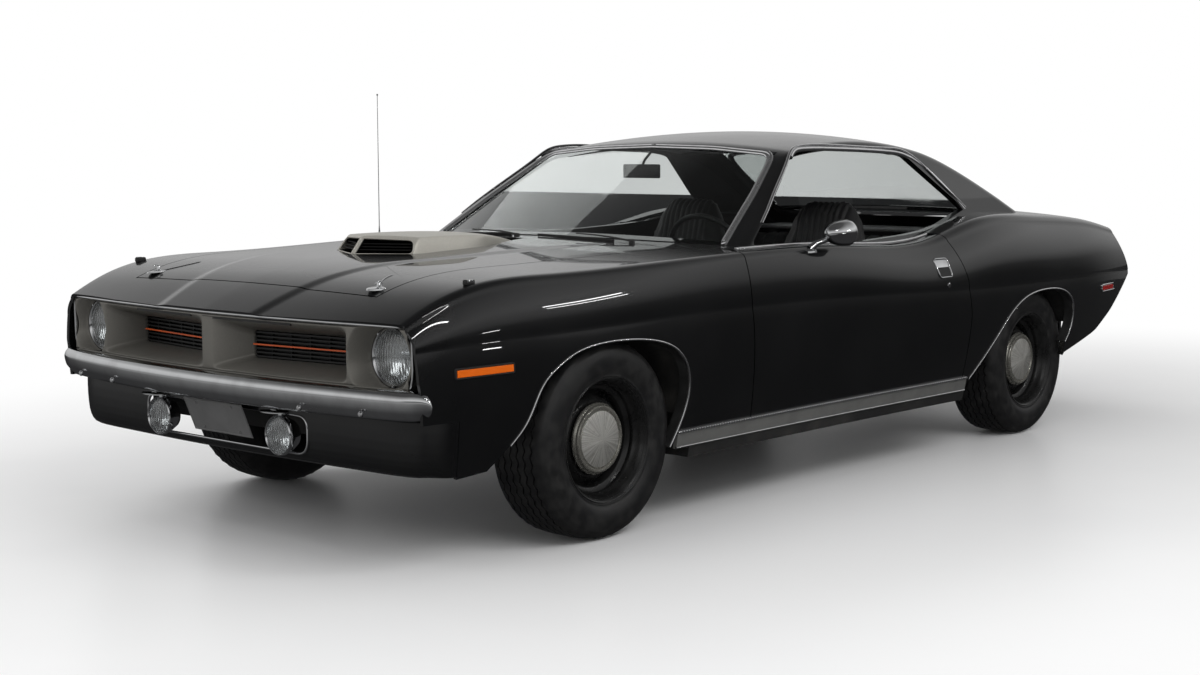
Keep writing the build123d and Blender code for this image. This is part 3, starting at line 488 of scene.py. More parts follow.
# name, place, what it is aimed at, the direction of its length, size, power, seen in mirrors
CAR, FENDER = (0, 0, 0.6), (1.9, 0.9, 0.75)
LAMPS = [
    ("lamp_left", (1.6, 5.0, 4.6), CAR, (1, 0, 0), (6.0, 2.2), 120, False),
    ("lamp_front", (6.4, -0.5, 4.2), CAR, (0, 1, 0), (2.4, 4.0), 80, False),
    ("lamp_right", (-0.5, -5.0, 4.6), CAR, (1, 0, 0), (6.0, 2.2), 90, False),
    ("tube_near", (1.06, 3.49, 3.4), FENDER, (-1.07, 1.36, 0), (1.5, 0.05), 8, True),
    ("tube_low", (-1.65, 5.66, 1.03), FENDER, (-0.32, -0.19, 0), (0.36, 0.04), 1.5, True),
    ("tube_far", (-4.15, 6.04, 2.98), FENDER, (-0.64, -0.30, 0), (0.7, 0.07), 5, True),
    ("tube_last", (-4.15, 6.04, 2.72), FENDER, (-0.64, -0.30, 0), (0.7, 0.04), 3, True),
]
for name, place, target, length, size, power, mirrored in LAMPS:
    data = bpy.data.lights.new(name, "AREA")
    data.shape = "RECTANGLE"
    data.size, data.size_y = size
    data.energy = power
    lamp = bpy.data.objects.new(name, data)
    lamp.visible_glossy = mirrored
    lamp.visible_camera = False
    back = (Vector(place) - Vector(target)).normalized()
    aside = (Vector(length) - Vector(length).dot(back) * back).normalized()
    lamp.location = place
    lamp.rotation_euler = Matrix((aside, back.cross(aside), back)).transposed().to_euler()
    bpy.context.scene.collection.objects.link(lamp)
bpy.context.scene.view_settings.view_transform = "Standard"
print(len(LAMPS), "lamps")
# %% [markdown]
# The body sheet metal is the heart of a black car: every wobble shows in its reflections.
# Pulling such faces by hand gives dents, so the panels are computed. A short table holds
# the half section of the body at eleven stations, and smooth curves run through its columns
# from nose to tail. A panel is then a fine grid laid between its own shut lines on that
# surface, turned into sheet of real thickness, and cut for wheels and openings.

# %% Body surface
# x, then low: sill edge, mid: widest of the lower side, crease: side crease, bulge: upper
# side, peak: top corner of the side, edge: start of the top, centre_z: crown in the middle
COLUMNS = "x low_y mid_y crease_y crease_z bulge_y peak_y peak_z edge_y edge_z centre_z".split()
STATIONS = np.array([
    (2340, 835, 868, 850, 660, 846, 828, 676, 800, 696, 728),
    (2125, 858, 890, 882, 675, 874, 848, 778, 815, 802, 818),
    (1650, 872, 914, 905, 684, 896, 868, 832, 828, 856, 882),
    (1100, 874, 914, 908, 693, 901, 880, 844, 840, 868, 902),
    (720, 874, 913, 908, 694, 901, 882, 850, 848, 877, 905),
    (100, 878, 922, 918, 688, 911, 884, 846, 846, 872, 900),
    (-500, 892, 944, 944, 670, 930, 888, 840, 846, 868, 905),
    (-900, 905, 951, 949, 663, 938, 880, 900, 838, 936, 946),
    (-1400, 900, 948, 945, 659, 930, 872, 902, 832, 936, 962),
    (-1900, 870, 912, 910, 653, 892, 845, 872, 808, 902, 940),
    (-2400, 800, 838, 832, 643, 822, 790, 800, 760, 826, 880),
], dtype=float)[::-1]
SILL_Z = 244


def spline_through(knots, values):
    """The second derivatives of the natural cubic through (knots, values)."""
    count, gaps = len(knots), np.diff(knots)
    system = np.eye(count)
    slopes = np.zeros((count, values.shape[1]))
    rise = np.diff(values, axis=0) / gaps[:, None]
    for i in range(1, count - 1):
        system[i, i - 1:i + 2] = gaps[i - 1], 2 * (gaps[i - 1] + gaps[i]), gaps[i]
        slopes[i] = 6 * (rise[i] - rise[i - 1])
    return np.linalg.solve(system, slopes)


def read_spline(knots, values, bends, at, side="left"):
    """The rows of values at any places, on the cubic that spline_through has solved."""
    k = np.clip(np.searchsorted(knots, at, side=side) - 1, 0, len(knots) - 2)
    gap = (knots[k + 1] - knots[k])[..., None]
    a, b = (knots[k + 1] - at)[..., None] / gap, (at - knots[k])[..., None] / gap
    bent = (a ** 3 - a) * bends[k] + (b ** 3 - b) * bends[k + 1]
    return a * values[k] + b * values[k + 1] + bent * gap ** 2 / 6


BENDS = spline_through(STATIONS[:, 0], STATIONS[:, 1:])


def station(x):
    """The table's columns at any x, as a dictionary of arrays."""
    row = read_spline(STATIONS[:, 0], STATIONS[:, 1:], BENDS, np.asarray(x, dtype=float))
    return {name: row[..., i] for i, name in enumerate(COLUMNS[1:])}


def bow(first, middle, last, t):
    """A shallow arc through three points, t from 0 to 1."""
    return first * (1 - t) * (1 - 2 * t) + middle * 4 * t * (1 - t) + last * t * (2 * t - 1)


def side_point(x, v):
    """A point of the flank: v 0..1 sill to crease, 1..2 to the peak, 2..3 over the corner."""
    s = station(x)
    low_z = SILL_Z - 60
    middle_z = (low_z + s["crease_z"]) / 2 + 40
    t = np.clip(v, 0, 1)
    y, z = bow(s["low_y"], s["mid_y"], s["crease_y"], t), bow(low_z, middle_z, s["crease_z"], t)
    t = np.clip(v - 1, 0, 1)
    upper = (bow(s["crease_y"], s["bulge_y"], s["peak_y"], t),
             bow(s["crease_z"], (s["crease_z"] + s["peak_z"]) / 2, s["peak_z"], t))
    t = np.clip(v - 2, 0, 1)
    corner_y = (s["peak_y"] + s["edge_y"]) / 2 + 6
    corner_z = (s["peak_z"] + s["edge_z"]) / 2 + 5
    top = (bow(s["peak_y"], corner_y, s["edge_y"], t), bow(s["peak_z"], corner_z, s["edge_z"], t))
    y = np.where(v > 2, top[0], np.where(v > 1, upper[0], y))
    z = np.where(v > 2, top[1], np.where(v > 1, upper[1], z))
    return y, z


def crown_z(x, y):
    """The height of the top of the body at (x, y)."""
    s = station(x)
    out = np.clip(np.abs(y) / s["edge_y"], 0, 1)
    t = (-0.6 + np.sqrt(0.36 + 1.6 * (1 - out))) / 0.8
    return s["edge_z"] + (s["centre_z"] - s["edge_z"]) * (1.68 * t - 0.68 * t * t)


check = station(np.array([0.0, -700.0]))
print("peak height at the doors and at the hips", check["peak_z"].round())

# %% [markdown]
# How well does this surface agree with the CAD panels? A short measurement says it: the
# CAD fender's, door's and quarter's corner points are put on the surface and compared.

# %% Measure the fit
def flank_gap(name):
    """The largest and mean distance, in mm, from a CAD panel's outer points to the surface."""
    points = np.array([tuple(v.co) for v in nodes[name].data.vertices]) / MM
    points = points[(points[:, 2] > 320) & (points[:, 2] < 840)]
    grid_v = np.linspace(0, 2, 161)
    x = np.repeat(points[:, :1], len(grid_v), axis=1)
    y, z = side_point(x, np.broadcast_to(grid_v, x.shape))
    nearest = np.argmin(np.abs(z - points[:, 2:3]), axis=1)
    gap = np.abs(y[np.arange(len(points)), nearest] - points[:, 1])
    gap = gap[gap < 12]
    return round(float(gap.max()), 2), round(float(gap.mean()), 2)


for name in ("fender_left", "door_left", "quarter_left"):
    print(name, "surface and CAD differ by", flank_gap(name))
# %% [markdown]
# Small tools for the workshop: make a mesh from a grid of points, give it a thickness with
# Solidify, cut it with a prism through a Boolean, and shade it. Each modifier is applied
# at once, so what is left is plain mesh with its place in its points.

# %% Workshop tools
GAP = 5                    # shut lines
pieces = {}


def keep(piece, name, body, coat, replaced=()):
    """Name a piece, finish it and let it ride on its CAD body."""
    piece.name = piece.data.name = name
    wear(piece, coat)
    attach(piece, body)
    if replaced:
        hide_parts(*replaced)
    pieces[name] = piece


def mesh_piece(points, faces, edges=()):
    """A new object from points in millimetres."""
    mesh = bpy.data.meshes.new("piece")
    mesh.from_pydata([tuple(MM * c for c in p) for p in points], edges, faces)
    piece = bpy.data.objects.new("piece", mesh)
    bpy.context.scene.collection.objects.link(piece)
    return piece


def select_only(piece):
    bpy.ops.object.select_all(action="DESELECT")
    piece.select_set(True)
    bpy.context.view_layer.objects.active = piece


def apply(piece, kind, **settings):
    """Add a modifier and apply it."""
    select_only(piece)
    modifier = piece.modifiers.new(kind.lower(), kind)
    for key, value in settings.items():
        setattr(modifier, key, value)
    bpy.ops.object.modifier_apply(modifier=modifier.name)


def shade(piece, degrees=35):
    select_only(piece)
    bpy.ops.object.shade_smooth_by_angle(angle=math.radians(degrees))


def outward(piece):
    """Merge doubles and turn the faces of a closed piece outwards."""
    select_only(piece)
    bpy.ops.object.mode_set(mode="EDIT")
    bpy.ops.mesh.select_all(action="SELECT")
    bpy.ops.mesh.remove_doubles(threshold=0.00002)
    bpy.ops.mesh.normals_make_consistent(inside=False)
    bpy.ops.object.mode_set(mode="OBJECT")


def grid_piece(points, closed=False):
    """A sheet through a grid of points (rows, columns, 3); closed joins last column to first."""
    rows, columns = points.shape[:2]
    faces = []
    for i in range(rows - 1):
        for j in range(columns if closed else columns - 1):
            k = (j + 1) % columns
            faces.append((i * columns + j, i * columns + k, (i + 1) * columns + k,
                          (i + 1) * columns + j))
    return mesh_piece(points.reshape(-1, 3), faces)


def face_to(piece, direction):
    """Turn a sheet over if it looks away from direction."""
    total = Vector((0, 0, 0))
    for polygon in piece.data.polygons:
        total += polygon.normal * polygon.area
    if total.dot(Vector(direction)) < 0:
        piece.data.flip_normals()


def prism(outline, axis, low, high):
    """A closed prism: outline in the two other axes, from low to high along axis."""
    count = len(outline)
    order = {"x": (2, 0, 1), "y": (0, 2, 1), "z": (0, 1, 2)}[axis]
    points = []
    for level in (low, high):
        for a, b in outline:
            points.append([(a, b, level)[i] for i in order])
    faces = [tuple(range(count)), tuple(range(count, 2 * count))]
    faces += [(i, (i + 1) % count, count + (i + 1) % count, count + i) for i in range(count)]
    made = mesh_piece(points, faces)
    outward(made)
    return made


def cut(piece, *cutters):
    """Take the cutters away from a piece, and delete them."""
    for cutter in cutters:
        apply(piece, "BOOLEAN", operation="DIFFERENCE", solver="EXACT", object=cutter)
        bpy.data.objects.remove(cutter)


def curve_through(points, steps=8):
    """A smooth line through points of any dimension, as more points."""
    points = np.array(points, dtype=float)
    lengths = np.concatenate([[0], np.cumsum(np.linalg.norm(np.diff(points, axis=0), axis=1))])
    bends = spline_through(lengths, points)
    at = np.concatenate([np.linspace(a, b, steps, endpoint=False)
                         for a, b in zip(lengths[:-1], lengths[1:])] + [lengths[-1:]])
    return read_spline(lengths, points, bends, at, "right")


print("workshop ready")

# %% [markdown]
# Shut lines and openings in side view. The wheel arches are smooth curves through a few
# measured points; the door's edges lean, and the nose is swept back from its middle.

# %% Outlines
ARCH_F = [(1150, 262), (1100, 360), (1078, 450), (1096, 530), (1150, 585), (1232, 617), (1358, 635),
          (1522, 636), (1640, 616), (1720, 580), (1775, 540), (1840, 432), (1905, 366), (1990, 300)]
ARCH_R = [(-720, 300), (-830, 396), (-912, 469), (-994, 538), (-1100, 594), (-1211, 620),
          (-1325, 627), (-1442, 621), (-1530, 598), (-1585, 556), (-1598, 499), (-1585, 440),
          (-1545, 380)]
SIDE_WINDOW = [(560, 885), (545, 905), (120, 1192), (85, 1212), (20, 1222), (-177, 1222),
               (-560, 1210), (-690, 1196), (-1032, 968), (-800, 912), (-660, 893), (-500, 882),
               (-200, 872), (240, 872)]
DOOR_FRONT = ((300, 717), (900, 735), (1000, 735))              # (z, x)
DOOR_REAR = ((306, -665), (560, -685), (700, -665), (860, -600), (1000, -580))
NOSE_SIDE = ((330, 2225), (560, 2242), (640, 2256), (700, 2262), (735, 2330))
NOSE_PLAN = ((0, 2316), (250, 2309), (520, 2288), (845, 2250), (1000, 2230))     # (y, x)
TAIL_SIDE = ((306, -1545), (330, -1545), (400, -1885), (480, -2074), (560, -2225), (630, -2366),
             (655, -2371), (858, -2235), (1000, -2190))
DOOR_LOW_Z = 306
HOOD_FRONT_X, HOOD_REAR_X, HOOD_FRONT_Y, HOOD_REAR_Y = 2146, 868, 600, 672
DECK_FRONT_X, DECK_REAR_X, DECK_HALF_Y = -1560, -2218, 640


def along(table, at):
    """Straight-line reading of a table of (key, value)."""
    keys, values = zip(*table)
    return np.interp(at, keys, values)


def v_at_height(x, z):
    """Where on the flank, 0..2, the surface is z high."""
    low, high = np.zeros_like(x), np.full_like(x, 2.0)
    for _ in range(24):
        middle = (low + high) / 2
        below = side_point(x, middle)[1] < z
        low, high = np.where(below, middle, low), np.where(below, high, middle)
    return (low + high) / 2


def flank(columns, rows, start_x, end_x, low_z, inner_y, to_v=4.0):
    """Points of a side panel: u from start_x(y, z) to end_x(y, z), up from low_z(x).

    Above v = 3 the panel turns in over the top of the body as far as inner_y(x)."""
    u = np.array(columns)[:, None] + np.zeros((1, len(rows)))
    share = np.array(rows)[None, :] + np.zeros((len(columns), 1))
    x, y, z = 700 - 1400 * u, np.full_like(u, 900.0), np.full_like(u, 600.0)
    for _ in range(6):
        x = start_x(y, z) + (end_x(y, z) - start_x(y, z)) * u
        low_v = v_at_height(x, low_z(x))
        v = np.where(share < 1, low_v + (1 - low_v) * share, share)
        y, z = side_point(x, np.clip(v, 0, 3))
        inward = np.clip(v - 3, 0, 1)
        s = station(x)
        y = np.where(v > 3, s["edge_y"] + (inner_y(x) - s["edge_y"]) * inward, y)
        z = np.where(v > 3, crown_z(x, y), z)
    return np.stack([x, y, z], axis=-1)


def mirrored(points):
    return points * np.array([1, -1, 1])


ROWS = np.concatenate([np.linspace(0, 1, 34, endpoint=False), np.linspace(1, 2, 18, endpoint=False),
                       np.linspace(2, 3, 8, endpoint=False), np.linspace(3, 4, 9)])
print(len(ROWS), "rows on a side panel")

# %% [markdown]
# The front fender runs from the door to the nose, up over the shoulder to the hood's edge,
# and is cut by the wheel arch. The quarter panel does the same behind the door and tapers
# up to the tail. Left and right are each computed, so neither is turned inside out.

# %% Fenders and quarters
def arch_prism(arch, side):
    line = [tuple(p) for p in curve_through(arch, 6)]
    line = [(line[0][0], 100.0), *line, (line[-1][0], 100.0)]
    low, high = (500, 1200) if side > 0 else (-1200, -500)
    return prism(line, "y", low, high)


def side_panel(name, points, wall, arch, side):
    sheet = grid_piece(points if side > 0 else mirrored(points))
    face_to(sheet, (0, side, 0.3))
    apply(sheet, "SOLIDIFY", thickness=wall * MM, offset=-1, use_even_offset=False)
    cut(sheet, arch_prism(arch, side))
    outward(sheet)
    shade(sheet)
    keep(sheet, name + "_skin", "body", "body_paint", replaced=[name])


FENDER_WALL, QUARTER_WALL = 12, 24
fender_low = ((717, 306), (1149, 306), (1151, 262), (1990, 300), (2120, 290), (2225, 330))
fender_inner = ((700, 765), (862, 740), (863, 674), (868, HOOD_REAR_Y), (HOOD_FRONT_X, HOOD_FRONT_Y),
                (2400, HOOD_FRONT_Y))
fender_points = flank(
    np.linspace(0, 1, 150), ROWS,
    lambda y, z: along(DOOR_FRONT, z) + GAP,
    lambda y, z: np.minimum(along(NOSE_PLAN, y), along(NOSE_SIDE, z)),
    lambda x: along(fender_low, x), lambda x: along(fender_inner, x))
quarter_inner = ((-2225, 645), (-1555, 645), (-1545, 666), (-1400, 684), (-1060, 722), (-500, 795))
quarter_points = flank(
    np.linspace(0, 1, 170), ROWS,
    lambda y, z: along(DOOR_REAR, z) - GAP,
    lambda y, z: along(TAIL_SIDE, z),
    lambda x: 306 + 0 * x, lambda x: along(quarter_inner, x))
for side, hand in ((1, "left"), (-1, "right")):
    side_panel(f"fender_{hand}", fender_points, FENDER_WALL, ARCH_F, side)
    side_panel(f"quarter_{hand}", quarter_points, QUARTER_WALL, ARCH_R, side)
print("fender and quarter points", fender_points.shape, quarter_points.shape)

# %% [markdown]
# A door is a thick box: the outer skin, a flat inner face and closed ends. Its section is
# drawn as one closed ring of points, down the inside and up the outside, and swept along
# the door with its ends closed. It has no frame round the glass.

# %% Doors
DOOR_INNER_Y = 800
DOOR_ROWS = np.concatenate([np.linspace(0, 1, 34, endpoint=False),
                            np.linspace(1, 2, 18, endpoint=False), np.linspace(2, 3, 8)])


def door_points():
    outer = flank(np.linspace(0, 1, 120), DOOR_ROWS, lambda y, z: along(DOOR_FRONT, z),
                  lambda y, z: along(DOOR_REAR, z), lambda x: DOOR_LOW_Z + 0 * x, lambda x: 800 + 0 * x)
    top = outer[:, -1]
    rings = []
    for z_share in np.linspace(1, 0, 12):
        inner = top.copy()
        inner[:, 2] = DOOR_LOW_Z + (top[:, 2] - DOOR_LOW_Z - 4) * z_share
        inner[:, 1] = DOOR_INNER_Y
        edge_front, edge_rear = along(DOOR_FRONT, inner[:, 2]), along(DOOR_REAR, inner[:, 2])
        inner[:, 0] = edge_front + (edge_rear - edge_front) * np.linspace(0, 1, len(inner))
        rings.append(inner)
    return np.concatenate([outer, np.stack(rings, axis=1)], axis=1)


def closed_ends(piece, columns, rows):
    """Close both ends of a tube made by grid_piece(closed=True)."""
    mesh = bmesh.new()
    mesh.from_mesh(piece.data)
    mesh.verts.ensure_lookup_table()
    for start in (0, (rows - 1) * columns):
        mesh.faces.new([mesh.verts[start + j] for j in range(columns)])
    mesh.to_mesh(piece.data)
    mesh.free()


ring = door_points()
for side, hand in ((1, "left"), (-1, "right")):
    door = grid_piece(ring if side > 0 else mirrored(ring), closed=True)
    closed_ends(door, ring.shape[1], ring.shape[0])
    outward(door)
    shade(door)
    keep(door, f"door_{hand}_shell", f"door_{hand}", "body_paint", replaced=[f"door_{hand}"])
print("door ring", ring.shape)

# %% [markdown]
# Hood, nose, cowl and deck lid lie on the crown of the body. The hood and the nose carry a
# raised middle between two soft creases that widen towards the windshield, and the hood
# has a hole that the scoop stands through.

# %% Hood, nose, cowl and deck lid
BULGE_RISE = 5
BULGE_EDGE = ((868, 430), (1700, 350), (2146, 270), (2316, 235))


def bulge(x, y):
    """How far the middle of the hood stands above the crown."""
    half = along(BULGE_EDGE, x)
    t = np.clip((half + 26 - np.abs(y)) / 52, 0, 1)
    fade = np.clip((x - 868) / 500, 0, 1)
    return BULGE_RISE * t * t * (3 - 2 * t) * (0.35 + 0.65 * fade)


def lid_points(x_from, x_to, half_y, count_x, count_y, raised=False):
    """A grid on the crown; x_from and half_y may depend on y and x."""
    u = np.linspace(0, 1, count_x)[:, None] + np.zeros((1, count_y))
    w = np.linspace(-1, 1, count_y)[None, :] + np.zeros((count_x, 1))
    x = np.full_like(u, 0.5 * (x_to(np.zeros(1)) + x_from(np.zeros(1)))[0])
    for _ in range(4):
        y = w * half_y(x)
        x = x_from(np.abs(y)) + (x_to(np.abs(y)) - x_from(np.abs(y))) * u
    z = crown_z(x, y) + (bulge(x, y) if raised else 0)
    return np.stack([x, y, z], axis=-1)


def lid(name, points, wall, body, replaced, cutters=()):
    sheet = grid_piece(points)
    face_to(sheet, (0, 0, 1))
    apply(sheet, "SOLIDIFY", thickness=wall * MM, offset=-1, use_even_offset=False)
    cut(sheet, *cutters)
    outward(sheet)
    shade(sheet)
    keep(sheet, name, body, "body_paint", replaced=replaced)


def level(value):
    return lambda at: np.full_like(at, float(value))


SCOOP_NOSE_X, FACE_SWEEP, FACE_LEAN = 1718, 0.55, 0.83


def face_x(y, z):
    """The pointed front face of the scoop, which leans back and is swept like a bow."""
    return SCOOP_NOSE_X - FACE_SWEEP * (np.sqrt(y * y + 144) - 12) - FACE_LEAN * (z - 885)


hole = [(float(face_x(y, 885)) + 10, y) for y in (0, 20, 50, 90, 130, 170)]
hole += [(1612, 196), (1590, 207), (1306, 209), (952, 53)]
hole += [(x, -y) for x, y in reversed(hole) if y > 0]
hood_edge = ((HOOD_REAR_X, HOOD_REAR_Y - GAP), (HOOD_FRONT_X, HOOD_FRONT_Y - GAP))
lid("hood_skin", lid_points(level(HOOD_REAR_X), level(HOOD_FRONT_X), lambda x: along(hood_edge, x),
                            140, 150, raised=True), 20, "hood", ["hood"],
    [prism(hole, "z", 600, 1100)])
lid("nose_skin", lid_points(level(HOOD_FRONT_X + GAP), lambda y: along(NOSE_PLAN, y),
                            level(HOOD_FRONT_Y), 40, 150, raised=True), 16, "body", ["nose_panel"])
lid("decklid_skin", lid_points(level(DECK_REAR_X), level(DECK_FRONT_X), level(DECK_HALF_Y), 80, 120),
    20, "decklid", ["decklid"])
cowl_edge = ((520, 765), (700, 764), (HOOD_REAR_X - GAP, 740))
lid("cowl_skin", lid_points(level(540), level(HOOD_REAR_X - GAP), lambda x: along(cowl_edge, x), 50, 120),
    14, "body", [])
print("lids made")
# %% [markdown]
# The greenhouse is one height field: the roof's crown, the windshield's plane and the rear
# window's plane, each a simple formula, joined by a smooth minimum so that the headers roll
# over softly. The sides are straight-ruled from belt to rail. Cutting the glass openings
# out of this shell leaves the roof skin with its slim pillars and wide sail panels.

# %% Greenhouse surface
# z, then windshield middle x, corner x, corner y, rear corner x, rear corner y, rear middle x
GLASS_ROWS = np.array([(840, 916, 662, 806, -1750, 735, -1840),
                       (1010, 590, 412, 734, -1368, 692, -1455),
                       (1330, -32, -70, 560, -640, 575, -725)], dtype=float)
# x, crown height in the middle, and 630 mm out
CROWN_ROWS = np.array([(960, 1080, 1024), (420, 1196, 1140), (110, 1249, 1204), (-274, 1291, 1243),
                       (-700, 1277, 1224), (-1050, 1214, 1158), (-1750, 1010, 960)], dtype=float)[::-1]
CROWN_EDGE_Y = 630
CROWN_BENDS = spline_through(CROWN_ROWS[:, 0], CROWN_ROWS[:, 1:])


def glass_row(z):
    """The table's columns at any height, straight between the rows."""
    z = np.asarray(z, dtype=float)
    k = np.where(z < 1010, 0, 1)
    low, high = GLASS_ROWS[k], GLASS_ROWS[k + 1]
    t = ((z - low[..., 0]) / (high[..., 0] - low[..., 0]))[..., None]
    row = low + (high - low) * t
    return [row[..., i] for i in range(1, 7)]


def windshield_x(y, z):
    front_mid, front, front_y = glass_row(z)[:3]
    return front_mid + (front - front_mid) * (y / front_y) ** 2


def backlight_x(y, z):
    rear, rear_y, rear_mid = glass_row(z)[3:]
    return rear_mid + (rear - rear_mid) * (y / rear_y) ** 2


def plane_height(x, y, plane_x, rising):
    """The height at which a glass plane stands over (x, y)."""
    low, high = np.full_like(x, 700.0), np.full_like(x, 1700.0)
    for _ in range(24):
        middle = (low + high) / 2
        above = (plane_x(y, middle) > x) if rising < 0 else (plane_x(y, middle) < x)
        low, high = np.where(above, middle, low), np.where(above, high, middle)
    return (low + high) / 2


def roof_crown(x, y):
    row = read_spline(CROWN_ROWS[:, 0], CROWN_ROWS[:, 1:], CROWN_BENDS, x)
    return row[..., 0] - (row[..., 0] - row[..., 1]) * (y / CROWN_EDGE_Y) ** 2


def smooth_min(first, second, reach):
    share = np.clip(0.5 + 0.5 * (second - first) / reach, 0, 1)
    return second + (first - second) * share - reach * share * (1 - share)


def roof_height(x, y):
    height = smooth_min(roof_crown(x, y), plane_height(x, y, windshield_x, -1), 26)
    return smooth_min(height, plane_height(x, y, backlight_x, 1), 40)


def rail_y(x, z):
    """The side of the greenhouse at height z."""
    _, front, front_y, rear, rear_y, _ = glass_row(z)
    return front_y + (x - front) / (rear - front) * (rear_y - front_y)


def greenhouse_points(xs, across, down, roll=30):
    """Half sections from the middle over the rail down to the belt: (len(xs), n, 3)."""
    x = xs[:, None]
    y_edge = np.full_like(x, 640.0)
    for _ in range(40):
        y_edge = 0.5 * y_edge + 0.5 * rail_y(x, roof_height(x, y_edge))
    z_edge = roof_height(x, y_edge)
    inner_y = (y_edge - roll) * np.linspace(0, 1, across)[None, :]
    top = np.stack([x + 0 * inner_y, inner_y, roof_height(x + 0 * inner_y, inner_y)], -1)
    side_z = z_edge - 0.8 * roll
    side_y = rail_y(x, side_z)
    t = np.linspace(0, 1, 8)[None, 1:-1]
    roll_y = (1 - t) ** 2 * (y_edge - roll) + 2 * t * (1 - t) * y_edge + t * t * side_y
    roll_z = (1 - t) ** 2 * top[:, -1:, 2] + 2 * t * (1 - t) * z_edge + t * t * side_z
    corner = np.stack([x + 0 * roll_y, roll_y, roll_z], -1)
    foot_z = crown_z(x, rail_y(x, 880.0 + 0 * x)) - 14
    foot_z = np.minimum(foot_z, side_z - 2)
    z = side_z + (foot_z - side_z) * np.linspace(0, 1, down)[None, :]
    side = np.stack([x + 0 * z, rail_y(x + 0 * z, z), z], -1)
    return np.concatenate([top, corner, side], axis=1)


# %% Roof skin with its pillars
# (y, z) from the middle out, as seen along the car
WINDSHIELD_VIEW = [(0, 1237), (300, 1229), (566, 1206), (640, 1060), (702, 900), (702, 800)]
BACKLIGHT_VIEW = [(0, 1226), (300, 1216), (490, 1196), (540, 1120), (596, 985), (600, 905)]
ROOF_WALL = 30
half = greenhouse_points(np.linspace(-1740, 640, 260), 46, 34)
whole = np.concatenate([mirrored(half)[:, :0:-1], half], axis=1)
shell = grid_piece(whole)
face_to(shell, (0, 0, 1))
apply(shell, "SOLIDIFY", thickness=ROOF_WALL * MM, offset=-1, use_even_offset=False)


def view_prism(view, x_from, x_to):
    """A glass opening seen from its end, both halves, as a prism along the car."""
    right = [(-y, z) for y, z in reversed(view) if y > 0]
    return prism([*view, *right], "x", x_from, x_to)


window = [tuple(p) for p in SIDE_WINDOW]
cut(shell, prism(window, "y", 300, 1200), prism(window, "y", -1200, -300),
    view_prism(WINDSHIELD_VIEW, 60, 1000), view_prism(BACKLIGHT_VIEW, -1900, -780))
outward(shell)
shade(shell, 40)
keep(shell, "roof_skin", "body", "body_paint", replaced=["roof"])
print("roof skin", len(shell.data.polygons), "faces")

# %% [markdown]
# The glass lies some way inside the openings and follows the same planes. Its edge is
# hidden under the mouldings that come later.

# %% Glass
GLASS_SET, GLASS_WALL, GLASS_LAP = 15.4, 5, 4


def pane(name, view, plane_x, step_in, foot, replaced):
    """A bent pane over its opening seen from the end of the car."""
    y = np.linspace(-1, 1, 91)[None, :] * (view[-1][0] + GLASS_LAP)
    top = along(view, np.abs(y)) + GLASS_LAP
    z = foot + (top - foot) * np.linspace(0, 1, 41)[:, None]
    y = y + 0 * z
    sheet = grid_piece(np.stack([plane_x(y, z) + step_in, y, z], -1))
    face_to(sheet, (-step_in, 0, 0.6))
    apply(sheet, "SOLIDIFY", thickness=GLASS_WALL * MM, offset=-1)
    outward(sheet)
    shade(sheet, 50)
    keep(sheet, name, "body", "glass", replaced=replaced)


WINDSHIELD_EDGE = WINDSHIELD_VIEW[:-1]
BACKLIGHT_EDGE = BACKLIGHT_VIEW[:-1] + [(598, 960)]
pane("windshield_glass", WINDSHIELD_EDGE, windshield_x, -GLASS_SET, 880, ["windshield"])
pane("backlight_glass", BACKLIGHT_EDGE, backlight_x, GLASS_SET, 925, ["rear_window"])
print("panes hung")

# %% [markdown]
# Round things are spun, long things are swept. lathe draws half an outline beside an axis
# and spins it once round, as on a wood lathe. sweep carries a section along a path and keeps
# one side of it towards the surface it lies on, which is how a moulding is rolled.

# %% Lathe, sweep and bars
def lathe(profile, centre, axis, side=1, steps=72):
    """Spin an outline of (radius, along) about an axis. It closes on itself, or on the axis."""
    along_axis = "xyz".index(axis)
    points = []
    for radius, far in profile:
        point = list(centre)
        point[along_axis] += side * far
        point[(along_axis + 1) % 3] += radius
        points.append(point)
    edges = [(i, i + 1) for i in range(len(points) - 1)]
    if profile[0][0] or profile[-1][0]:
        edges.append((len(points) - 1, 0))
    piece = mesh_piece(points, [], edges)
    select_only(piece)
    bpy.ops.object.mode_set(mode="EDIT")
    bpy.ops.mesh.select_all(action="SELECT")
    bpy.ops.mesh.spin(steps=steps, angle=2 * math.pi, center=tuple(MM * c for c in centre),
                      axis=tuple(float(k == along_axis) for k in range(3)))
    bpy.ops.object.mode_set(mode="OBJECT")
    outward(piece)
    return piece


def unit(vectors):
    return vectors / np.linalg.norm(vectors, axis=-1, keepdims=True)


def sweep(path, out, section, loop=False, scale=None):
    """Carry a closed section of (across, out) along a path of points."""
    path = np.array(path, dtype=float)
    out = np.zeros_like(path) + np.array(out, dtype=float)
    ahead = np.roll(path, -1, 0) - np.roll(path, 1, 0) if loop else np.gradient(path, axis=0)
    ahead = unit(ahead)
    out = unit(out - (out * ahead).sum(1, keepdims=True) * ahead)
    across = np.cross(ahead, out)
    section = np.array(section, dtype=float)
    size = np.ones(len(path)) if scale is None else np.array(scale)
    rings = path[:, None] + size[:, None, None] * (
        section[None, :, :1] * across[:, None] + section[None, :, 1:] * out[:, None])
    if loop:
        rings = np.concatenate([rings, rings[:1]])
    piece = grid_piece(rings, closed=True)
    if not loop:
        closed_ends(piece, len(section), len(rings))
    outward(piece)
    return piece


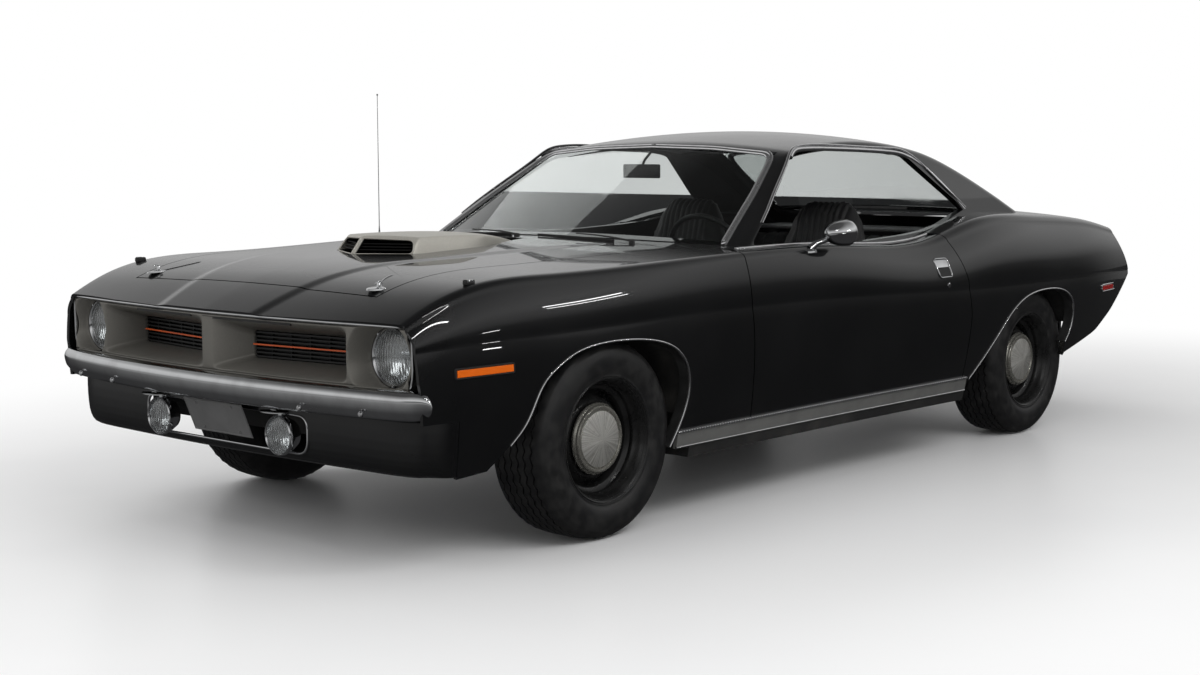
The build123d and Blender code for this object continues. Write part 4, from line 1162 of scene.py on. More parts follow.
def half_round(width, height, sink=2.5, count=9):
    """The section of a rolled moulding that stands height proud and reaches sink below."""
    t = np.linspace(0, math.pi, count)
    return [(width / 2, -sink), *zip(width / 2 * np.cos(t), height * np.sin(t)), (-width / 2, -sink)]


def round_section(radius, count=10):
    t = np.linspace(0, 2 * math.pi, count, endpoint=False)
    return list(zip(radius * np.cos(t), radius * np.sin(t)))


def block(x0, x1, y0, y1, z0, z1, bevel=0.0, segments=3):
    """A cube stretched to its corners, with its edges rounded."""
    bpy.ops.object.select_all(action="DESELECT")
    bpy.ops.mesh.primitive_cube_add(size=1, location=(MM * (x0 + x1) / 2, MM * (y0 + y1) / 2,
                                                      MM * (z0 + z1) / 2))
    piece = bpy.context.object
    piece.scale = (MM * abs(x1 - x0), MM * abs(y1 - y0), MM * abs(z1 - z0))
    bpy.ops.object.transform_apply(location=True, rotation=True, scale=True)
    if bevel:
        apply(piece, "BEVEL", width=bevel * MM, segments=segments, limit_method="ANGLE")
    return piece


def join(*parts):
    """Join pieces into the first one."""
    bpy.ops.object.select_all(action="DESELECT")
    for part in parts:
        part.select_set(True)
    bpy.context.view_layer.objects.active = parts[0]
    bpy.ops.object.join()
    return parts[0]


def box_outline(a, b, c, d):
    """The corners of a box from a to b one way and from c to d the other."""
    return [(a, c), (b, c), (b, d), (a, d)]


def soften(outline, cut_back, steps=6):
    """A closed outline with every corner rounded off; cut_back is one reach, or one a corner."""
    outline = [np.array(p, dtype=float) for p in outline]
    made = []
    for k, corner in enumerate(outline):
        before, after = outline[k - 1], outline[(k + 1) % len(outline)]
        reach = cut_back[k] if isinstance(cut_back, (list, tuple)) else cut_back
        a = corner + (before - corner) * min(reach / np.linalg.norm(before - corner), 0.48)
        b = corner + (after - corner) * min(reach / np.linalg.norm(after - corner), 0.48)
        for t in np.linspace(0, 1, steps):
            made.append(tuple((1 - t) ** 2 * a + 2 * t * (1 - t) * corner + t * t * b))
    return made


def dressed(piece, name, body, coat, degrees=40, replaced=()):
    """Shade a finished piece and keep it."""
    outward(piece)
    shade(piece, degrees)
    keep(piece, name, body, coat, replaced)


print("second shelf ready")

# %% [markdown]
# A cross-ply tyre of the time: a round shoulder, a smooth wall with a thin rim-guard rib,
# and a tread of ribs parted by zigzag grooves. The outline is spun with its grooves in it,
# and then each point of the tread is moved a little sideways by how far round it is, which
# makes the grooves zigzag. The wall is left plain.

# %% Tyres
FRONT_AXLE_X, REAR_AXLE_X, HUB_Z = 1431, -1312, 318
FRONT_TRACK_Y, REAR_TRACK_Y = 758, 771
CORNERS = [("fl", FRONT_AXLE_X, 1, FRONT_TRACK_Y), ("fr", FRONT_AXLE_X, -1, FRONT_TRACK_Y),
           ("rl", REAR_AXLE_X, 1, REAR_TRACK_Y), ("rr", REAR_AXLE_X, -1, REAR_TRACK_Y)]
TYRE_WALL = [(189, 99), (198, 103), (203, 108), (208, 107.5), (212, 110), (232, 116), (250, 118),
             (268, 116.5), (284, 112), (290, 110), (293, 107), (300, 103), (306, 98)]
GROOVES, GROOVE_HALF, GROOVE_DEEP = (70, 42, 14), 3.0, 7.5
TYRE_STEPS, ZIGZAGS = 192, 48


def tread_height(y):
    """The tyre's radius at y across the tread."""
    return 318 - 1.4 * (y / 60) ** 2 - 3.0 * (abs(y) / 90) ** 6


def tyre_outline():
    shoulder = GROOVES[0] + GROOVE_HALF + 8
    outer = [*TYRE_WALL, (tread_height(shoulder), shoulder)]
    for middle in GROOVES:
        high, low = middle + GROOVE_HALF, middle - GROOVE_HALF
        outer += [(tread_height(high), high), (tread_height(middle) - GROOVE_DEEP, high - 1),
                  (tread_height(middle) - GROOVE_DEEP, low + 1), (tread_height(low), low)]
    return outer + [(r, -y) for r, y in reversed(outer)]


for corner, x, side, track in CORNERS:
    hub = (x, side * track, HUB_Z)
    tyre = lathe(tyre_outline(), hub, "y", side, TYRE_STEPS)
    for vertex in tyre.data.vertices:
        across = vertex.co.y - MM * hub[1]
        up, ahead = vertex.co.z - MM * HUB_Z, vertex.co.x - MM * x
        if abs(across) < 0.085 and math.hypot(up, ahead) > 0.300:
            turn = math.atan2(up, ahead) / (2 * math.pi) * ZIGZAGS
            vertex.co.y += 0.0045 * (abs((turn % 1) - 0.5) * 4 - 1)
    dressed(tyre, f"tyre_{corner}_tread", f"wheel_{corner}", "tyre", 42, replaced=[f"tyre_{corner}"])
print("tyres", len(tyre.data.polygons), "faces each")

# %% [markdown]
# The wheels are plain pressed steel in black enamel with a small silver cap. The rim is one
# closed ring of many steps: lip, bead seat, hump and well, which catch the light as rings.
# The cap is pressed aluminium: a rolled edge, a groove, and a shallow brushed cone. Its
# brushing runs out from the middle, so its finish needs the angle round the hub: each cap
# carries a UV map with its own middle at zero.

# %% Wheels
RIM = [(198.5, 101), (200, 104), (197, 106.5), (193, 105), (189, 98), (184, 92), (180, 84), (178, 70),
       (174, 66), (171, 60), (172, 50), (166, 44), (158, 40), (154, 30), (154, 8), (160, -6),
       (176, -20), (178, -84), (184, -92), (194, -100), (199, -97), (194, -92), (188.5, -84),
       (187, -20), (168, -2), (161, 10), (161, 28), (182, 52), (187, 84), (190, 94)]
DISC = [(40, 36), (70, 36), (96, 40), (116, 47), (124, 47), (132, 40), (142, 22), (150, 14), (157, 12),
        (157, 8), (148, 9), (138, 17), (128, 35), (121, 42), (112, 41), (96, 35), (40, 31)]
CAP = [(0, 84.5), (12, 84), (40, 81.5), (66, 78), (84, 75), (90, 73.6), (92, 71.5), (95, 71.5),
       (97, 74.5), (101, 75.5), (105, 74.5), (108, 71), (109, 66), (112, 63), (114.5, 59), (114, 54),
       (110, 50), (104, 48), (0, 60)]


def hub_map(piece, x):
    """A UV map that measures metres from the hub, ahead and up."""
    layer = piece.data.uv_layers.new(name="hub")
    for loop in piece.data.loops:
        point = piece.data.vertices[loop.vertex_index].co
        layer.data[loop.index].uv = (point.x - MM * x, point.z - MM * HUB_Z)


def cap_finish():
    cap = finish("cap_metal")
    uv = cap.node("ShaderNodeUVMap", {"uv_map": "hub"})
    split = cap.node("ShaderNodeSeparateXYZ", None, uv).socket.node
    ahead, up = (Field(cap, output) for output in split.outputs[:2])
    angle = up.math("ARCTAN2", ahead)
    radius = (ahead * ahead + up * up).math("SQRT")
    place = cap.node("ShaderNodeCombineXYZ", None, angle.math("SINE") * 2.0, angle.math("COSINE") * 2.0)
    streaks = cap.node("ShaderNodeTexNoise", None, Vector=place, Scale=9.0, Detail=5.0, Roughness=0.7)
    fine = cap.node("ShaderNodeTexNoise", None, Vector=place, Scale=34.0, Detail=3.0)
    cone = radius < 0.089
    ray = (streaks.step(0.38, 0.62) * 0.7 + fine * 0.3) * cone
    stain = cap.noise(60.0, 4.0).step(0.55, 0.8)
    cap.set(Base_Color=cap.mix(stain * 0.6, cap.mix(ray, (0.40, 0.39, 0.35), (0.90, 0.89, 0.85)),
                               (0.30, 0.28, 0.24)),
            Metallic=0.85, Roughness=0.26 + ray * 0.16 + stain * 0.1)
    cap.bump(ray, 0.5, 0.0012)


cap_finish()
for corner, x, side, track in CORNERS:
    hub = (x, side * track, HUB_Z)
    rim = lathe(RIM, hub, "y", side, 96)
    disc = lathe(DISC, hub, "y", side, 96)
    valve = sweep([(x + 148, hub[1] + side * 18, HUB_Z - 60), (x + 140, hub[1] + side * 54, HUB_Z - 57)],
                  (0, 0, 1), round_section(4))
    wheel = join(rim, disc, valve)
    dressed(wheel, f"wheel_{corner}_steel", f"wheel_{corner}", "wheel_black", replaced=[f"wheel_{corner}"])
    cap = lathe(CAP, hub, "y", side, 96)
    hub_map(cap, x)
    dressed(cap, f"cap_{corner}", f"wheel_{corner}", "cap_metal", 30)
print("four wheels and caps")

# %% [markdown]
# The grille surround is one deep pressing in warm grey enamel: two mouths whose walls flare
# in like trumpets, a divider between them, and a round bore for each headlamp. Seen from
# the front it hides nothing of itself, so it can be drawn as a height field: for every
# (y, z) one depth x. Only the bores and the back openings are cut afterwards.

# %% Grille surround
GRILLE_LOW_Z, GRILLE_TOP_Z = 552, 731
MOUTH_FRONT, MOUTH_BACK = (22, 606, 562, 724), (107, 538, 592, 678)
INSERT_IN_X, INSERT_OUT_X = 2211, 2155
LAMP_Y, LAMP_Z, LAMP_R = 720, 640, 84
BOWL_R, BOWL_X = 118, 2204
NOSE_SAG, NOSE_SAG_Y, NOSE_FRONT_X = 70, 845, 2308


def nose_line(y):
    """The front of the surround in plan: a flat arc."""
    radius = (NOSE_SAG_Y ** 2 + NOSE_SAG ** 2) / (2 * NOSE_SAG)
    return NOSE_FRONT_X - (radius - np.sqrt(radius ** 2 - np.asarray(y, dtype=float) ** 2))


def insert_x(y):
    return along(((MOUTH_BACK[0], INSERT_IN_X), (MOUTH_BACK[1], INSERT_OUT_X)), np.abs(y))


def surround_x(y, z):
    """The depth of the pressing at (y, z)."""
    out = np.abs(y)
    f0, f1, g0, g1 = MOUTH_FRONT
    b0, b1, c0, c1 = MOUTH_BACK
    walls = smooth_min(smooth_min((out - f0) / (b0 - f0), (f1 - out) / (f1 - b1), 0.35),
                       smooth_min((z - g0) / (c0 - g0), (g1 - z) / (g1 - c1), 0.2), 0.45)
    t = np.clip(walls, 0, 1)
    rim = np.minimum(z - GRILLE_LOW_Z, GRILLE_TOP_Z - z)
    rolled = 9 * (1 - np.clip(rim / 9, 0, 1)) ** 2
    face = nose_line(y) - (nose_line(y) - insert_x(y) + 2) * t ** 1.5 - rolled
    bowl = np.clip((BOWL_R - np.hypot(out - LAMP_Y, z - LAMP_Z)) / (BOWL_R - LAMP_R - 6), 0, 1)
    return face + (BOWL_X - face) * np.where(face > BOWL_X, bowl ** 1.3, 0)


def surround():
    half_y = 826
    fine = np.concatenate([np.linspace(-half_y, -10, 270), np.linspace(-6, 6, 7),
                           np.linspace(10, half_y, 270)])[None, :]
    z = np.linspace(GRILLE_LOW_Z, GRILLE_TOP_Z, 84)[:, None] + 0 * fine
    y = fine + 0 * z
    sheet = grid_piece(np.stack([surround_x(y, z), y, z], -1))
    face_to(sheet, (1, 0, 0))
    apply(sheet, "SOLIDIFY", thickness=5 * MM, offset=-1)
    b0, b1, c0, c1 = MOUTH_BACK
    for side in (-1, 1):
        opening = soften(box_outline(side * b0, side * b1, c0, c1), 12)
        cut(sheet, prism(opening, "x", 2100, 2260))
        cut(sheet, lathe([(0, 2100), (LAMP_R + 5, 2100), (LAMP_R + 5, 2400), (0, 2400)],
                         (0, side * LAMP_Y, LAMP_Z), "x"))
    dressed(sheet, "surround_pressing", "body", "argent", replaced=["grille_surround"])


surround()

# %% [markdown]
# Behind each mouth stands a black insert of seven thin bars, with a thin orange line along
# its middle. Under the top lip of the pressing are two long dark slots.

# %% Behind each mouth stands a black insert of seven thin bars, with a thin orange line along
# its middle. Under the top lip of the pressing lie two long black bars that paint the shade there.
def insert_rail(side, z, x_step, section):
    y = np.linspace(MOUTH_BACK[0] - 6, MOUTH_BACK[1] + 6, 12)
    path = np.stack([insert_x(y) + x_step, side * y, 0 * y + z], -1)
    return sweep(path, (0, 0, 1), [(-side * a, b) for a, b in section])


BAR = [(-3, -2.5), (9, -2.5), (12, 0), (9, 2.5), (-3, 2.5)]
ORANGE_LINE = box_outline(-2, 2, -2.2, 2.2)
bars = []
for k in range(7):
    z = MOUTH_BACK[2] + (k + 0.5) * (MOUTH_BACK[3] - MOUTH_BACK[2]) / 7
    bars += [insert_rail(side, z, -14, BAR) for side in (-1, 1)]
for side in (-1, 1):
    for y in np.linspace(MOUTH_BACK[0] + 60, MOUTH_BACK[1] - 60, 5):
        x = float(insert_x(y))
        bars.append(block(x - 22, x - 12, side * y - 1.5, side * y + 1.5, 592, 678))
dressed(join(*bars), "grille_bars", "body", "grille_black")
line = join(*[insert_rail(side, 635, 1.5, ORANGE_LINE) for side in (-1, 1)])
dressed(line, "orange_accent", "body", "orange_line")
# painted shade: black bars under the top lip of the pressing, where shade falls
shade_bars = []
for y0, y1 in ((-387, -84), (-23, 381)):
    y = np.linspace(y0, y1, 40)
    path = np.stack([nose_line(y) - 6, y, 0 * y + 719], -1)
    shade_bars.append(sweep(path, (1, 0, 0), box_outline(-3.6, 3.6, -3, 6)))
dressed(join(*shade_bars), "lip_slots", "body", "grille_black")
print("inserts, line and slots")

# %% [markdown]
# A sealed-beam headlamp is a glass bowl: a domed, fluted lens, a bright reflector seen
# through it, a chrome retaining ring round it with small lugs, and a black bucket behind.
# The driving lamps under the bumper are the same idea in a chrome shell of their own, each
# on a short post below the bumper.

# %% Lamps
def lamp(name, centre, radius, face, dome, replaced):
    """Ring, lens and reflector of a lamp whose glass starts at x = face."""
    x, y, z = centre
    at = (0, y, z)
    glass = [(0, face + dome), (radius * 0.3, face + dome * 0.93), (radius * 0.6, face + dome * 0.68),
             (radius * 0.84, face + dome * 0.3), (radius * 0.95, face), (radius * 0.95, face - 3.5),
             (radius * 0.8, face + dome * 0.3 - 4), (radius * 0.5, face + dome * 0.75 - 4),
             (0, face + dome - 4)]
    lens = lathe(glass, at, "x")
    dressed(lens, name + "_lens", "body", "lamp_glass", 50, replaced=replaced)
    bowl = [(radius * 0.95, face - 4), (radius * 0.86, face - 16), (radius * 0.62, face - 34),
            (radius * 0.3, face - 45), (12, face - 48), (12, face - 20), (7, face - 14), (0, face - 13),
            (0, face - 52), (radius * 0.34, face - 49), (radius * 0.7, face - 37), (radius * 0.98, face - 14)]
    dressed(lathe(bowl, at, "x"), name + "_reflector", "body", "mirror")
    ring = [(radius * 0.93, face - 1), (radius * 0.95, face + 5), (radius, face + 8),
            (radius * 1.05, face + 5), (radius * 1.06, face - 6), (radius * 0.98, face - 8)]
    return lathe(ring, at, "x")


def mirror_finish():
    mirror = finish("mirror")
    haze = mirror.noise(30.0, 3.0)
    mirror.set(Base_Color=mirror.mix(haze, (0.86, 0.87, 0.88), (0.76, 0.77, 0.78)), Metallic=1.0,
               Roughness=0.10 + haze * 0.10)


mirror_finish()
HEAD_FACE = 2196
DRIVING_Y, DRIVING_Z, DRIVING_R, DRIVING_FACE = 300, 380, 62, 2278
DRIVING_SHELL = [(0, 2218), (28, 2220), (42, 2230), (54, 2252), (60, 2268), (61, 2280), (57, 2281),
                 (56, 2268), (50, 2254), (38, 2236), (0, 2226)]
FOOT_X, FOOT_SQUASH = 2296, 0.6
for side, hand in ((1, "left"), (-1, "right")):
    centre = (0, side * LAMP_Y, LAMP_Z)
    ring = lamp(f"headlamp_{hand}", centre, LAMP_R - 1, HEAD_FACE, 18, ["headlamps"])
    lugs = []
    for turn in (0.8, 2.35, 4.7):
        y, z = centre[1] + 88 * math.cos(turn), LAMP_Z + 88 * math.sin(turn)
        lugs.append(block(HEAD_FACE + 2, HEAD_FACE + 8, y - 4, y + 4, z - 4, z + 4, 1.5))
    dressed(join(ring, *lugs), f"headlamp_{hand}_ring", "body", "chrome")
    bucket = lathe([(LAMP_R + 3, HEAD_FACE - 60), (LAMP_R + 3, HEAD_FACE + 4), (LAMP_R + 6, HEAD_FACE + 4),
                    (LAMP_R + 6, HEAD_FACE - 62), (0, HEAD_FACE - 62), (0, HEAD_FACE - 60)],
                   centre, "x")
    dressed(bucket, f"headlamp_{hand}_bucket", "body", "grille_black")
    centre = (0, side * DRIVING_Y, DRIVING_Z)
    ring = lamp(f"driving_{hand}", centre, DRIVING_R - 4, DRIVING_FACE, 9, ["driving_lamps"])
    shell = lathe(DRIVING_SHELL, centre, "x")
    post = block(2256, 2300, centre[1] - 13, centre[1] + 13, 452, 462, 3)
    stem = sweep([(2270, centre[1], 434), (2270, centre[1], 462)], (1, 0, 0), round_section(9, 16))
    foot = lathe([(0, 459), (50, 458), (55, 456), (55, 453), (0, 452)], (FOOT_X, centre[1], 0), "z")
    for vertex in foot.data.vertices:
        vertex.co.x = MM * FOOT_X + (vertex.co.x - MM * FOOT_X) * FOOT_SQUASH
    dressed(join(ring, shell, post, stem, foot), f"driving_{hand}_shell", "body", "chrome")
    stone = lathe([(0, DRIVING_FACE - 4), (13, DRIVING_FACE - 5), (15, DRIVING_FACE - 12),
                   (0, DRIVING_FACE - 14)], centre, "x")
    dressed(stone, f"driving_{hand}_eye", "body", "mirror")
print("four lamps")

# %% [markdown]
# The front bumper is a slim chrome blade. Its section is a flat ledge on top, a bright
# chamfer, an upright face and a lip rolled back under it. The section is carried along the
# bumper's plan: a flat bow, then a tight corner where the blade swells and rounds off.

# %% Bumpers
# (how far out, how high), once round
BLADE = [(-41, 41), (-36, 41.5), (-31, 40), (-22, 30), (-13, 19), (-10, 15), (-7, 11), (-4, 3),
         (-1.8, -6), (-0.4, -15), (0, -21), (-1, -26), (-4, -34), (-9, -41), (-16, -45.5), (-26, -48),
         (-34, -48), (-34, -44), (-20, -41), (-12, -35), (-8, -24), (-6, -10), (-10, 5), (-18, 16),
         (-34, 34), (-41, 36)]


def blade(middle_x, side_x, side_y, corner, end, middle_z, tall, facing):
    """A bumper blade across the car; facing 1 looks forward, -1 back."""
    sag = abs(middle_x - side_x)
    radius = (side_y ** 2 + sag ** 2) / (2 * sag)
    bow_y = np.linspace(0, side_y * 0.96, 60)
    bow = [(middle_x - facing * (radius - math.sqrt(radius ** 2 - y * y)), y) for y in bow_y]
    half = [tuple(p) for p in curve_through([*bow[::12], bow[-1], corner, end], 14)]
    plan = np.array([(x, -y) for x, y in reversed(half[1:])] + half)
    path = np.column_stack([plan, np.full(len(plan), float(middle_z))])
    lengths = np.concatenate([[0], np.cumsum(np.linalg.norm(np.diff(path, axis=0), axis=1))])
    from_end = np.minimum(lengths, lengths[-1] - lengths)
    size = 0.22 + 0.78 * np.sqrt(np.clip(1 - (1 - np.clip(from_end / 52, 0, 1)) ** 2, 0, 1))
    ahead = np.gradient(path, axis=0)
    out = np.stack([ahead[:, 1], -ahead[:, 0], 0 * ahead[:, 0]], -1)
    out *= np.sign(out[len(out) // 2, 0]) * facing
    return sweep(path, out, [(up * tall, far) for far, up in BLADE], scale=size)


front = blade(2370, 2290, 812, (2262, 868), (2222, 903), 510, 1.0, 1)
dressed(front, "front_blade", "body", "chrome", 42, replaced=["front_bumper"])
rear = blade(-2361, -2322, 640, (-2300, 676), (-2268, 699), 528, 0.86, -1)
dressed(rear, "rear_blade", "body", "chrome", 42, replaced=["rear_bumper"])
bolts = []
for y in (-700, -470, 470, 700):
    x = 2370 - y * y * 80 / 812 ** 2
    head = [(0, x + 2.5), (6, x + 1.5), (9, x - 2), (9, x - 6), (0, x - 6)]
    bolts.append(lathe(head, (0, y, 486), "x", steps=24))
dressed(join(*bolts), "bumper_bolts", "body", "chrome")
print("bumpers", len(front.data.polygons), len(rear.data.polygons))

# %% [markdown]
# The scoop stands on the engine and shakes with it, through a hole in the hood. Its shell is
# a height field again: a crowned top, two leaning sides, and a front face pointed like a
# ship's bow, joined by smooth minima. Two mouths are cut into the face; each gets a raised
# lip, three thin bars set back in the dark, and behind them a black lining that paints the
# shade inside the scoop.

# %% Scoop
# (x, half width) and (x, z of the top)
SCOOP_SIDE = [(961, 44), (1080, 97), (1200, 150), (1290, 186), (1380, 197), (1500, 199), (1640, 197),
              (1720, 178)]
SCOOP_TOP = [(961, 893), (1060, 914), (1160, 930), (1306, 942), (1450, 946), (1600, 945), (1720, 939)]
SCOOP_BASE_Z, SCOOP_FOOT_Z = 800, 878
scoop_side = [tuple(p) for p in curve_through(SCOOP_SIDE, 12)]
scoop_top = [tuple(p) for p in curve_through(SCOOP_TOP, 12)]


def scoop_points(inset):
    x = np.concatenate([np.linspace(SCOOP_TOP[0][0] + inset, 1540, 70),
                        np.linspace(1543, SCOOP_NOSE_X - inset, 78)])
    s = np.sin(np.linspace(-1, 1, 91) * math.pi / 2)
    half = along(scoop_side, x)[:, None] - inset
    y = half * s[None, :]
    x = x[:, None] + 0 * y
    top = along(scoop_top, x) - 11 * (y / half) ** 2 - inset
    front = 885 + (face_x(y, 885 + 0 * y) - inset - x) / FACE_LEAN
    side = SCOOP_BASE_Z + (half - np.abs(y)) * 6
    z = np.maximum(smooth_min(smooth_min(top, front, 12), side, 34), SCOOP_BASE_Z)
    points = np.stack([x, y, z], -1)
    foot = points[-1:].copy()
    foot[..., 2] = SCOOP_BASE_Z
    return np.concatenate([points, foot])


def mouth(side):
    """The outline of a mouth in front view."""
    corners = [(side * 7, 883), (side * 187, 884), (side * 167, 929), (side * 7, 934)]
    return soften(corners, [3, 18, 20, 4], 8)


shell = grid_piece(scoop_points(0))
face_to(shell, (0, 0, 1))
apply(shell, "SOLIDIFY", thickness=4 * MM, offset=-1)
cut(shell, *[prism(mouth(side), "x", 1540, 1760) for side in (1, -1)],
    prism([(900, -260), (1760, -260), (1760, 260), (900, 260)], "z", 700, SCOOP_FOOT_Z))
lips = []
for side in (1, -1):
    outline = np.array(mouth(side))
    y, z = outline[:, 0], outline[:, 1]
    lips.append(sweep(np.stack([face_x(y, z), y, z], -1), (1, side * FACE_SWEEP, FACE_LEAN),
                      half_round(5, 2.6), loop=True))
dressed(join(shell, *lips), "scoop_shell", "body", "scoop_silver", replaced=["shaker_scoop"])
# painted shade: a black lining just inside the shell darkens the inside of the mouths
shade_lining = grid_piece(scoop_points(6))
face_to(shade_lining, (0, 0, 1))
apply(shade_lining, "SOLIDIFY", thickness=3 * MM, offset=-1)
cut(shade_lining, *[prism(mouth(side), "x", 1540, 1760) for side in (1, -1)])
bars = []
for side in (1, -1):
    for z, y_end in ((896.5, 172), (906, 168), (915.5, 162)):
        y = np.linspace(4, y_end, 20)
        bars.append(sweep(np.stack([face_x(y, z) - 17, side * y, z + 0 * y], -1), (0, 0, 1),
                          box_outline(-5, 5, -0.9, 0.9)))
dressed(join(shade_lining, *bars), "scoop_throat", "body", "grille_black", replaced=["shaker_scoop"])
print("scoop", len(pieces["scoop_shell"].data.polygons), "faces")

# %% [markdown]
# Small things on the hood and the cowl: two hood pins with their scuff plates and wires, the
# turn-signal tell-tales on the fender tops, a row of black blocks that paint the shade of the
# cowl's air slots, and the two wipers.

# %% Hood pins, tell-tales, painted slot shade and wipers
PIN_X, PIN_Y, PIN_PLATE_LONG = 2095, 548, 1.8
for side, hand in ((1, "left"), (-1, "right")):
    y = side * PIN_Y
    z = float(crown_z(np.array(PIN_X), np.array(y)))
    plate = lathe([(0, 3.4), (21, 3.2), (24, 2.2), (25, -2), (0, -2)], (PIN_X, y, z), "z", steps=48)
    for vertex in plate.data.vertices:
        vertex.co.x = MM * PIN_X + (vertex.co.x - MM * PIN_X) * PIN_PLATE_LONG
        vertex.co.z -= (abs(vertex.co.y) - MM * PIN_Y) * 0.06 + (vertex.co.x - MM * PIN_X) * 0.05
    pin = lathe([(0, 20), (3.5, 19.5), (6, 16), (6, 1), (0, 1)], (PIN_X, y, z + 1), "z", steps=20)
    turn = np.linspace(0, 2 * math.pi, 28, endpoint=False)
    circle = [PIN_X + 4 + 13 * np.cos(turn), y + 0 * turn + side * 4, z + 13 + 9 * np.sin(turn)]
    hoop = sweep(np.stack(circle, -1), (0, 1, 0), round_section(1.6, 8), loop=True)
    fold = np.linspace(0, 1, 24)
    wire_x, wire_y = PIN_X - 8 - 130 * fold, y - side * (10 + 62 * fold + 16 * np.sin(fold * math.pi))
    wire_z = crown_z(wire_x, wire_y) + bulge(wire_x, wire_y) + 1.2 - 5 * np.clip(fold - 0.8, 0, 1) / 0.2
    wire = sweep(np.stack([wire_x, wire_y, wire_z], -1), (0, 0, 1), round_section(1.1, 6))
    dressed(join(plate, pin, hoop, wire), f"hood_pin_{hand}", "hood", "chrome")
    x, y = 1985, side * 812
    z = float(crown_z(np.array(1985.0), np.array(800.0)))
    body = block(x - 19, x + 19, y - 9, y + 9, z - 4, z + 13, 5)
    dressed(body, f"telltale_{hand}_body", "body", "trim_black")
    lens = block(x - 11, x + 13, y + side * 2 - 5, y + side * 2 + 8 * side, z + 4, z + 13.8, 2)
    dressed(lens, f"telltale_{hand}_lens", "body", "mirror")
# painted shade: black blocks fill the cowl's air slots, where there is only shade
shade_bars = []
for side in (1, -1):
    for y in np.linspace(150, 560, 18):
        z = float(crown_z(np.array(838.0), np.array(y)))
        shade_bars.append(block(824, 851, side * y - 4.2, side * y + 4.2, z - 6, z + 0.6, 1.5, 2))
dressed(join(*shade_bars), "cowl_slots", "body", "grille_black")


def wiper(name, pivot, blade_from, blade_to):
    """An arm from its pivot to the middle of a blade that lies parked on the cowl."""
    line = np.linspace(blade_from, blade_to, 26)
    line = np.column_stack([line, crown_z(line[:, 0], line[:, 1]) + 7])
    rubber = sweep(line, (0, 0, 1), [(-2, -6), (2, -6), (3.5, 0), (3, 4), (-3, 4), (-3.5, 0)])
    foot = np.array([*pivot, float(crown_z(*np.array(pivot, dtype=float)))])
    turn = np.linspace(0, 1, 14)[:, None]
    reach = foot * (1 - turn) + (line[12] + [0, 0, 6]) * turn
    reach[:, 2] += 8 + 4 * np.sin(turn[:, 0] * math.pi)
    arm = sweep(reach, (0, 0, 1), [(-6, -2), (6, -2), (4, 3), (-4, 3)], scale=np.linspace(1.1, 0.7, 14))
    boss = lathe([(0, 12), (8, 11), (11, 7), (12, -6), (0, -6)], foot, "z", steps=28)
    dressed(join(rubber, arm, boss), name, "body", "trim_black")


wiper("wiper_left", (846, 470), (862, 400), (822, 0))
wiper("wiper_right", (842, -90), (806, -150), (826, -560))
print("hood and cowl fittings on")

# %% [markdown]
# Bright trim draws the outlines of a black car. Every moulding here is a half-round section
# swept along a line that is worked out from the same surfaces as the panels, so it follows
# them exactly: round the wheel arches, round the glass, along the gutter and the belt.

# %% Mouldings
def flank_y(x, z):
    """How far out the flank is at (x, z)."""
    x = np.asarray(x, dtype=float)
    return side_point(x, v_at_height(x, z))[0]


def on_side(x, z, side, proud=0.0):
    """The point of the flank at (x, z), or a point that stands proud of it."""
    return np.stack([x, side * (flank_y(x, z) + proud), z], -1)


def arch_lip(arch, side, name):
    """The thin bright lip of a wheel opening and the flat dark return behind it."""
    line = curve_through(arch, 8)
    x, z = line[:, 0], line[:, 1]
    path = on_side(x, z, side, 0.8)
    ahead = unit(np.gradient(line, axis=0))
    inner = np.stack([ahead[:, 1], 0 * x, -ahead[:, 0]], -1)
    middle = np.array([x.mean(), 0, HUB_Z])
    inner *= np.sign(((middle - path) * inner).sum(1).mean())
    lip = sweep(path + inner * 1.5, (0, side, 0), half_round(7, 3.4, 4))
    flange = sweep(path + inner * 3 - np.array([0, side * 22, 0]), inner, box_outline(-20, 20, -3, 1))
    dressed(lip, name + "_lip", "body", "bright_trim")
    dressed(flange, name + "_return", "body", "trim_black")


for side, hand in ((1, "left"), (-1, "right")):
    arch_lip(ARCH_F[:-1], side, f"arch_front_{hand}")
    arch_lip(ARCH_R, side, f"arch_rear_{hand}")


def glass_line(view, plane_x, lift):
    """A line round a windshield or rear window opening, from one lower corner to the other."""
    half = soften(view, [0.001] + [46] * (len(view) - 2) + [0.001], 6)
    half = [p for p in half if p[0] >= 0]
    both = [(-y, z) for y, z in reversed(half[1:])] + half
    y, z = np.array(both).T
    return np.stack([plane_x(y, z) + lift, y, z], -1)


GLASS_MOULDING = [(-14, -4), (-14, 1), (-11, 4), (-3, 4.6), (0, 1.8), (3, 4.4), (11, 3.6), (14, 0.5),
                  (14, -4)]
for name, view, plane_x, lift, out in (
        ("windshield", WINDSHIELD_EDGE, windshield_x, 3.0, (0.55, 0, 0.83)),
        ("backlight", BACKLIGHT_EDGE, backlight_x, -3.0, (-0.45, 0, 0.9))):
    frame = sweep(glass_line(view, plane_x, lift), out, GLASS_MOULDING)
    dressed(frame, name + "_moulding", "body", "bright_trim", 30)


def rail_line(outline, side, proud):
    """A side-view line laid on the greenhouse side."""
    line = np.array(outline, dtype=float)
    x, z = line[:, 0], line[:, 1]
    return np.stack([x, side * (rail_y(x, z) + proud), z], -1)


